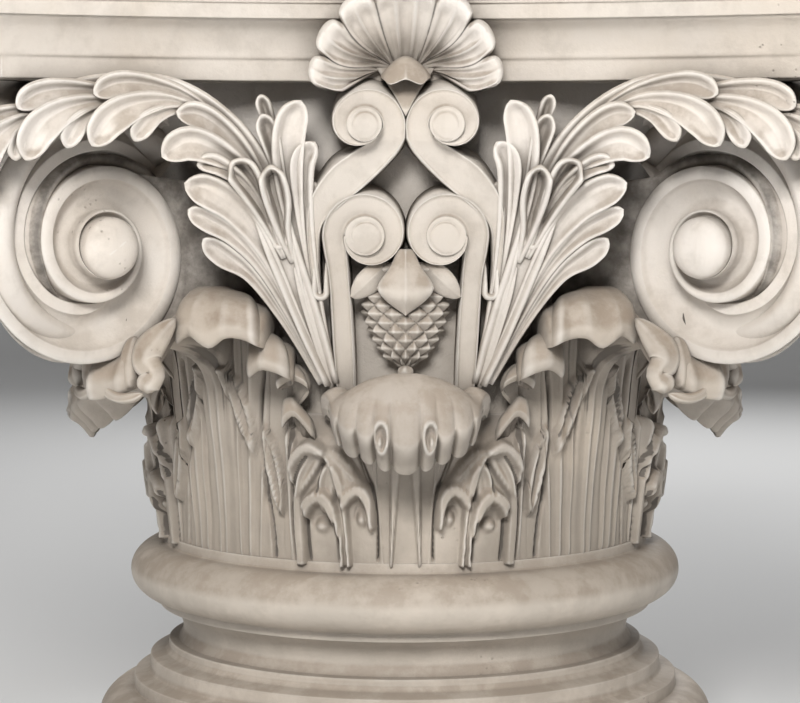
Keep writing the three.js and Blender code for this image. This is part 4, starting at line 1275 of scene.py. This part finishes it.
for line, lift, bowl, lean in petals:
    raised, inside = petal(panel_azimuth, panel_height, line, lift, 2.6, 3.0, bowl, lean)
    panel_push = np.where(inside > 0, raised, np.maximum(panel_push, raised))
    # Painted shade and soiling in the bowls, and painted shade on the ground beside each raised petal.
    bowl_dirt_and_shade = 0.30 * smooth(2, 6, inside) * (bowl > 0)
    beside = 0.55 * smooth(-3.5, 0, inside) * (lift > 3)
    panel_dirt_and_shade = np.where(inside > 0, bowl_dirt_and_shade, np.maximum(panel_dirt_and_shade, beside))
# Each pearl under a hood: azimuth, height, half width and half height.
for at, above, wide, tall in [(9.2, 279, 6.4, 9.5), (18.0, 271, 8.4, 8.0)]:
    off = np.hypot((panel_azimuth - at) * ARC / wide, (panel_height - above) / tall)
    pearl = 7.5 * np.clip(1 - off**2, 0, 1) ** 1.1
    free = panel_push < 8  # where no hood lies over the panel
    under_hood = smooth(1.5, 1.0, off) * smooth(above - 6, above + 5, panel_height) * free
    panel_push = np.where(free, panel_push - 3.5 * under_hood, panel_push) + pearl * free
    # Painted shade under each hood and round the edge of its pearl.
    panel_dirt_and_shade = np.where(off < 1, 0.45 * smooth(0.6, 1, off) * under_hood,
                          np.maximum(panel_dirt_and_shade, 0.5 * under_hood))
panel_channels = [
    [(25.4, 364), (23.8, 353), (24.2, 333), (24.9, 300), (25.1, 272), (24.6, 238)],
    [(21.5, 284), (21.7, 264), (21.4, 238)],
    [(14.9, 274), (14.5, 257), (14.3, 238)],
    [(23.9, 300), (22.6, 320), (20.4, 335)],
    [(9.6, 336), (8.0, 316), (6.6, 302), (5.9, 280), (5.9, 238)],
    [(17.4, 326), (18.2, 312), (18.2, 303)],
]
# The channels are painted dark as well, as shade in them.
for line in panel_channels:
    trough, channel_shade = channel(panel_azimuth, panel_height, line, 1.4, 7)
    panel_push, panel_dirt_and_shade = panel_push + trough, np.maximum(panel_dirt_and_shade, channel_shade)
panel_radius = base + softened(panel_push)
panel_azimuth = np.concatenate([panel_azimuth, panel_azimuth[:, -1:], panel_azimuth[:, :1]], axis=1)
panel_radius = np.concatenate([panel_radius, panel_radius[:, -2:] * 0 + HIDDEN], axis=1)
panel_height = np.concatenate([panel_height, panel_height[:, -1:], panel_height[:, :1]], axis=1)
panel = capped(polar(panel_azimuth, panel_radius, panel_height))
folded_lobes = mesh_piece("folded_lobes", on_halves([panel]), [for_caps(panel_dirt_and_shade)] * 8)

# %% [markdown]
# Fir cone and cap leaves
#
# Under the lower scrolls hangs a fir cone with a pointed leaf and two small side leaves over its top. The
# cone is a turned body whose scales are pyramids on a lattice of diamonds: two slanted counters run across
# the surface, and the height falls off with the distance from the middle of a cell in either.

# %% Cone and cap
CONE_DEPTH, CONE_MIDDLE = 252, 466
# How many scales go round the cone, how tall one is and how far it stands out.
SCALES_ROUND, SCALE_TALL, SCALE_PROUD = 9.5, 16, 8.5


def fir_cone():
    """Body radius by height, plus SCALE_PROUD times a pyramid in each diamond cell, less a groove."""
    a = np.radians(np.linspace(-104, 104, 97))[None, :]
    z = np.linspace(414, 512, 72)[:, None]
    body = np.interp(z, [412, 417, 424, 436, 452, 468, 486, 512], [1, 5, 11.5, 20, 28, 33, 33, 26])
    stretch = a * SCALES_ROUND / (2 * math.pi)
    p, q = stretch + (z - CONE_MIDDLE) / SCALE_TALL, stretch - (z - CONE_MIDDLE) / SCALE_TALL
    cell = np.maximum(np.abs(p - np.floor(p) - 0.5), np.abs(q - np.floor(q) - 0.5)) * 2
    radius = body + SCALE_PROUD * (1 - cell) ** 0.85 * smooth(412, 428, z) - 1.6 * smooth(0.84, 1, cell)
    depth = CONE_DEPTH + 0.85 * radius * np.cos(a)
    grid = np.stack([radius * np.sin(a), -depth, z * np.ones_like(a)], axis=-1)
    # Painted shade and soiling in the grooves between the scales.
    dirt_and_shade = 0.75 * smooth(0.84, 1, cell)
    return capped(grid), np.concatenate([dirt_and_shade[:1], dirt_and_shade, dirt_and_shade[-1:]])


def nub():
    """A small knobbly end under the cone."""
    t = np.linspace(0.05, math.pi - 0.05, 14)[:, None]
    a = np.linspace(0, 2 * math.pi, 24, endpoint=False)[None, :]
    size = 7 * np.sin(t) * (1 + 0.16 * np.sin(4 * a + 1) * np.sin(2 * t))
    depth = CONE_DEPTH + 10 + size * np.sin(a)
    return capped(np.stack([size * np.cos(a), -depth, 412 + 7 * np.cos(t) + 0 * a], axis=-1))


cap = cap_leaf([(0, 524, 22, 7), (0, 508, 30, 14), (0, 492, 37, 24.5), (0, 480, 38, 19), (0, 465, 34, 0)])
side_path = [(18, 512, 14, 8), (26, 502, 20, 11), (36, 492, 20, 11), (45, 484, 16, 6), (50, 481, 12, 0)]
side_cap = cap_leaf(side_path, bulge_height=5, midrib=0.6)
cone_points, cone_dirt_and_shade = fir_cone()
cones = mesh_piece("fir_cones", on_faces([cone_points]), [cone_dirt_and_shade] * 4)
caps = mesh_piece("cap_leaves", on_faces([nub(), cap[0], side_cap[0], mirrored(side_cap[0])]),
                  [np.zeros((16, 24)), cap[1], side_cap[1], side_cap[1]] * 4)

# %% [markdown]
# The stone
#
# The real surface is cast stone with a thin warm wash. Its colour is lightest and warmest on the abacus and
# the volutes and greyer below, partly from the wash and partly as painted shade on the lower parts. Brown
# patina lies where water and dust settle, on tops that face up. Every hollow is painted darker, with soiling
# and painted shade, and drilled channels are broken dark lines of painted shade. One small class lets shader
# sums be written as ordinary Python, and one method makes any node.


# %% Shader sums
class Wire:
    """A socket that can be used in sums. Each sum adds a Math node."""

    def __init__(self, nodes, socket):
        self.nodes, self.socket = nodes, socket

    def sum(self, operation, *values):
        return self.nodes.make("Math", {"operation": operation}, *values)

    def __add__(self, other):
        return self.sum("ADD", self, other)

    def __sub__(self, other):
        return self.sum("SUBTRACT", self, other)

    def __rsub__(self, other):
        return self.sum("SUBTRACT", other, self)

    def __mul__(self, other):
        return self.sum("MULTIPLY", self, other)

    __radd__, __rmul__ = __add__, __mul__


class Nodes:
    """The node tree of one material, emptied, with one method that makes any node."""

    def __init__(self, name):
        self.material = bpy.data.materials.new(name)
        self.material.use_nodes = True
        self.tree = self.material.node_tree
        self.tree.nodes.clear()

    def make(self, kind, settings=None, *values, out=0, **named):
        """A node of a kind, its settings first, then the values or links of its sockets by order or name."""
        node = self.tree.nodes.new("ShaderNode" + kind)
        for key, setting in (settings or {}).items():
            setattr(node, key, setting)
        sockets = dict(enumerate(values))
        sockets.update({key.replace("_", " "): value for key, value in named.items()})
        for key, value in sockets.items():
            if isinstance(value, Wire):
                self.tree.links.new(value.socket, node.inputs[key])
            else:
                node.inputs[key].default_value = value
        return Wire(self, node.outputs[out])

    def ramp(self, value, low, high):
        """0 below low, 1 above high and an even step between."""
        return self.make("MapRange", {"interpolation_type": "SMOOTHSTEP"}, value, low, high, 0.0, 1.0)

    def blend(self, share, a, b):
        """Colour a, or colour b where the share is 1."""
        node = self.tree.nodes.new("ShaderNodeMix")
        node.data_type = "RGBA"
        for socket, value in zip((node.inputs[0], node.inputs[6], node.inputs[7]), (share, a, b)):
            if isinstance(value, Wire):
                self.tree.links.new(value.socket, socket)
            elif isinstance(value, tuple):
                socket.default_value = (*value, 1)
            else:
                socket.default_value = value
        return Wire(self, node.outputs[2])


# %% Stone recipe
STREAK, BLOTCH, SETTLED = (0.56, 0.50, 0.43), (0.33, 0.285, 0.235), (0.34, 0.275, 0.215)
# On the next line, the second colour is soiling with painted shade in small recesses and the third painted
# shade in wide recesses. On the line after, the first is near-black painted shade in drilled channels and the
# deepest hollows, and the second soiling with painted shade along the hollow attribute.
WORN, RECESS_GRIME_SHADE, FAR_SHADE = (0.90, 0.875, 0.83), (0.215, 0.185, 0.155), (0.215, 0.19, 0.165)
DRILLED_SHADE, HOLLOW_DIRT_SHADE, PIT = (0.045, 0.038, 0.032), (0.33, 0.29, 0.25), (0.24, 0.20, 0.17)


def cast_stone(name, light, deep, patina=0.5, grime_and_shade=0.85, grain=1.0, rough=0.62, far=0.55):
    """Washed cast stone. light and deep are the colours high up and low down; deep is partly painted shade.

    patina is how strong the settled dust is. The argument after it sets the soiling and painted shade in
    small recesses, and far the painted shade in wide recesses.
    """
    n = Nodes(name)
    place = n.make("TexCoord", out="Object")
    height = n.make("SeparateXYZ", None, place, out="Z")
    normal = n.make("NewGeometry", out="Normal")
    upward = n.make("SeparateXYZ", None, normal, out="Z")
    pointed = n.make("NewGeometry", out="Pointiness")
    clouds = n.make("TexNoise", None, Vector=place, Scale=9.0, Detail=5.0, Roughness=0.6)
    blotches = n.make("TexNoise", None, Vector=place, Scale=42.0, Detail=6.0, Roughness=0.65)
    fine = n.make("TexNoise", None, Vector=place, Scale=420.0, Detail=4.0, Roughness=0.6)
    stretched = n.make("Mapping", None, place, (0, 0, 0), (0, 0, 0), (1.0, 1.0, 0.12))
    streaks = n.make("TexNoise", None, Vector=stretched, Scale=75.0, Detail=4.0, Roughness=0.6)
    hollow = n.make("Attribute", {"attribute_name": "hollow"}, out="Fac")
    shade = n.make("AmbientOcclusion", {"samples": 6}, Distance=0.022, out="AO")
    wide_shade = n.make("AmbientOcclusion", {"samples": 4}, Distance=0.09, out="AO")

    # Lighter high up and darker below: partly the wash, partly painted shade on the lower parts.
    colour = n.blend(n.ramp(height, 0.17, 0.43), deep, light)
    warm = tuple(c * s for c, s in zip(light, (0.93, 0.885, 0.82)))
    colour = n.blend(n.ramp(clouds, 0.42, 0.66) * 0.5, colour, warm)
    colour = n.blend(n.ramp(streaks, 0.52, 0.75) * 0.22, colour, STREAK)
    colour = n.blend(n.ramp(blotches, 0.46, 0.66) * 0.2, colour, BLOTCH)
    settled = n.ramp(upward, -0.08, 0.32) * (n.ramp(blotches, 0.36, 0.60) * 0.5 + 0.5) * patina
    colour = n.blend(settled, colour, SETTLED)
    colour = n.blend(n.ramp(pointed, 0.515, 0.575) * 0.35, colour, WORN)
    # Painted shade with soiling where ambient occlusion finds small recesses, then painted shade in wide
    # recesses.
    recess_grime_and_shade = n.ramp(1 - shade, 0.12, 0.95) * (n.ramp(blotches, 0.25, 0.7) * 0.35 + 0.65) * grime_and_shade
    colour = n.blend(recess_grime_and_shade, colour, RECESS_GRIME_SHADE)
    far_recess_shade = n.ramp(1 - wide_shade, 0.20, 0.95) * far
    colour = n.blend(far_recess_shade, colour, FAR_SHADE)
    # Near-black painted shade in broken dashes where the hollow attribute is deepest, then a general
    # darkening along it: soiling and painted shade.
    drilled = n.ramp(hollow + blotches * 0.5, 0.80, 1.05)
    colour = n.blend(drilled * 0.92, colour, DRILLED_SHADE)
    colour = n.blend(n.ramp(hollow, 0.1, 0.9) * 0.3, colour, HOLLOW_DIRT_SHADE)
    pits = n.make("TexVoronoi", None, Vector=place, Scale=190.0, out="Distance")
    pit = (1 - n.ramp(pits, 0.06, 0.2)) * n.ramp(clouds, 0.60, 0.68)
    colour = n.blend(pit * 0.55, colour, PIT)

    roughness = recess_grime_and_shade * 0.25 + rough
    bump = fine * 0.25 + blotches * 0.9 - pit * 1.2
    surface = n.make("Bump", None, Strength=0.5 * grain, Distance=0.0016, Height=bump)
    shader = n.make("BsdfPrincipled", None, Base_Color=colour, Roughness=roughness, Normal=surface)
    output = n.tree.nodes.new("ShaderNodeOutputMaterial")
    n.tree.links.new(shader.socket, output.inputs["Surface"])
    return n.material


# Pale washes for the upper parts, then the deeper colours that they fade to below, which are partly painted
# shade.
CREAM, IVORY, WARM = (0.86, 0.805, 0.75), (0.84, 0.785, 0.73), (0.70, 0.64, 0.575)
PLASTER, SAND = (0.66, 0.62, 0.58), (0.64, 0.575, 0.505)
BUFF, BEIGE, UMBER = (0.54, 0.485, 0.42), (0.46, 0.41, 0.35), (0.36, 0.315, 0.265)
smooth_stone = cast_stone("washed_stone", CREAM, BEIGE, patina=0.28, grime_and_shade=0.7, far=0.4)
foot_stone = cast_stone("foot_stone", IVORY, BUFF, patina=0.75, grime_and_shade=1.0, far=1.0)
leaf_stone = cast_stone("leaf_stone", IVORY, UMBER, patina=0.75, grime_and_shade=0.9, far=0.65)
rolled_stone = cast_stone("rolled_stone", SAND, UMBER, patina=1.0, grime_and_shade=0.95, far=0.95)
scroll_stone = cast_stone("scroll_stone", WARM, BEIGE, patina=0.8)
rough_stone = cast_stone("rough_ground", PLASTER, BEIGE, patina=0.1, grime_and_shade=0.55, grain=2.6, rough=0.8,
                         far=0.25)
volutes.data.materials.append(smooth_stone)
foot.data.materials.append(foot_stone)
for piece in (abacus, scrolls, caps, cones, knobs):
    piece.data.materials.append(scroll_stone)
for piece in (*sprays, shells, centre_leaves, folded_lobes):
    piece.data.materials.append(leaf_stone)
for piece in (corner_leaves, lip_petals):
    piece.data.materials.append(rolled_stone)
bell.data.materials.append(rough_stone)
capital_pieces = (bell, abacus, volutes, *sprays, scrolls, shells, knobs, corner_leaves, centre_leaves,
                  folded_lobes, lip_petals, cones, caps)
for piece in capital_pieces:
    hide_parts("capital")
print(len(capital_pieces) + 1, "pieces in six finishes of one stone")

# %% [markdown]
# Floor and backdrop
#
# The capital stands on a plain pale floor. Far behind, the floor bends up into a backdrop, so no horizon
# cuts across the view. The sheet is one profile of depth and height carried sideways.

# %% Floor
bend = np.radians(np.linspace(0, 90, 24))
curve = np.stack([3.0 + 1.2 * np.sin(bend), 1.2 - 1.2 * np.cos(bend)], 1)
sweep = np.concatenate([[[-6.0, 0]], curve, [[4.2, 5.0]]])
sideways = np.linspace(-7, 7, 8)
floor_points = np.stack([np.broadcast_to(sideways[:, None], (8, len(sweep))),
                         np.broadcast_to(sweep[:, 0], (8, len(sweep))),
                         np.broadcast_to(sweep[:, 1] - 0.0005, (8, len(sweep)))], axis=-1)
floor_mesh = bpy.data.meshes.new("floor")
floor_mesh.from_pydata(floor_points.reshape(-1, 3).tolist(), [], quads(8, len(sweep))[:, ::-1].tolist())
floor_mesh.polygons.foreach_set("use_smooth", np.ones(len(floor_mesh.polygons), dtype=bool))
floor = bpy.data.objects.new("floor", floor_mesh)
bpy.context.collection.objects.link(floor)
paper = Nodes("pale_floor")
paper_shader = paper.make("BsdfPrincipled", None, Base_Color=(0.80, 0.80, 0.795, 1), Roughness=0.85)
paper_out = paper.tree.nodes.new("ShaderNodeOutputMaterial")
paper.tree.links.new(paper_shader.socket, paper_out.inputs["Surface"])
floor_mesh.materials.append(paper.material)

# %% Sizes
print("CAD box", [round(v, 4) for v in (*cad_low, *cad_high)])
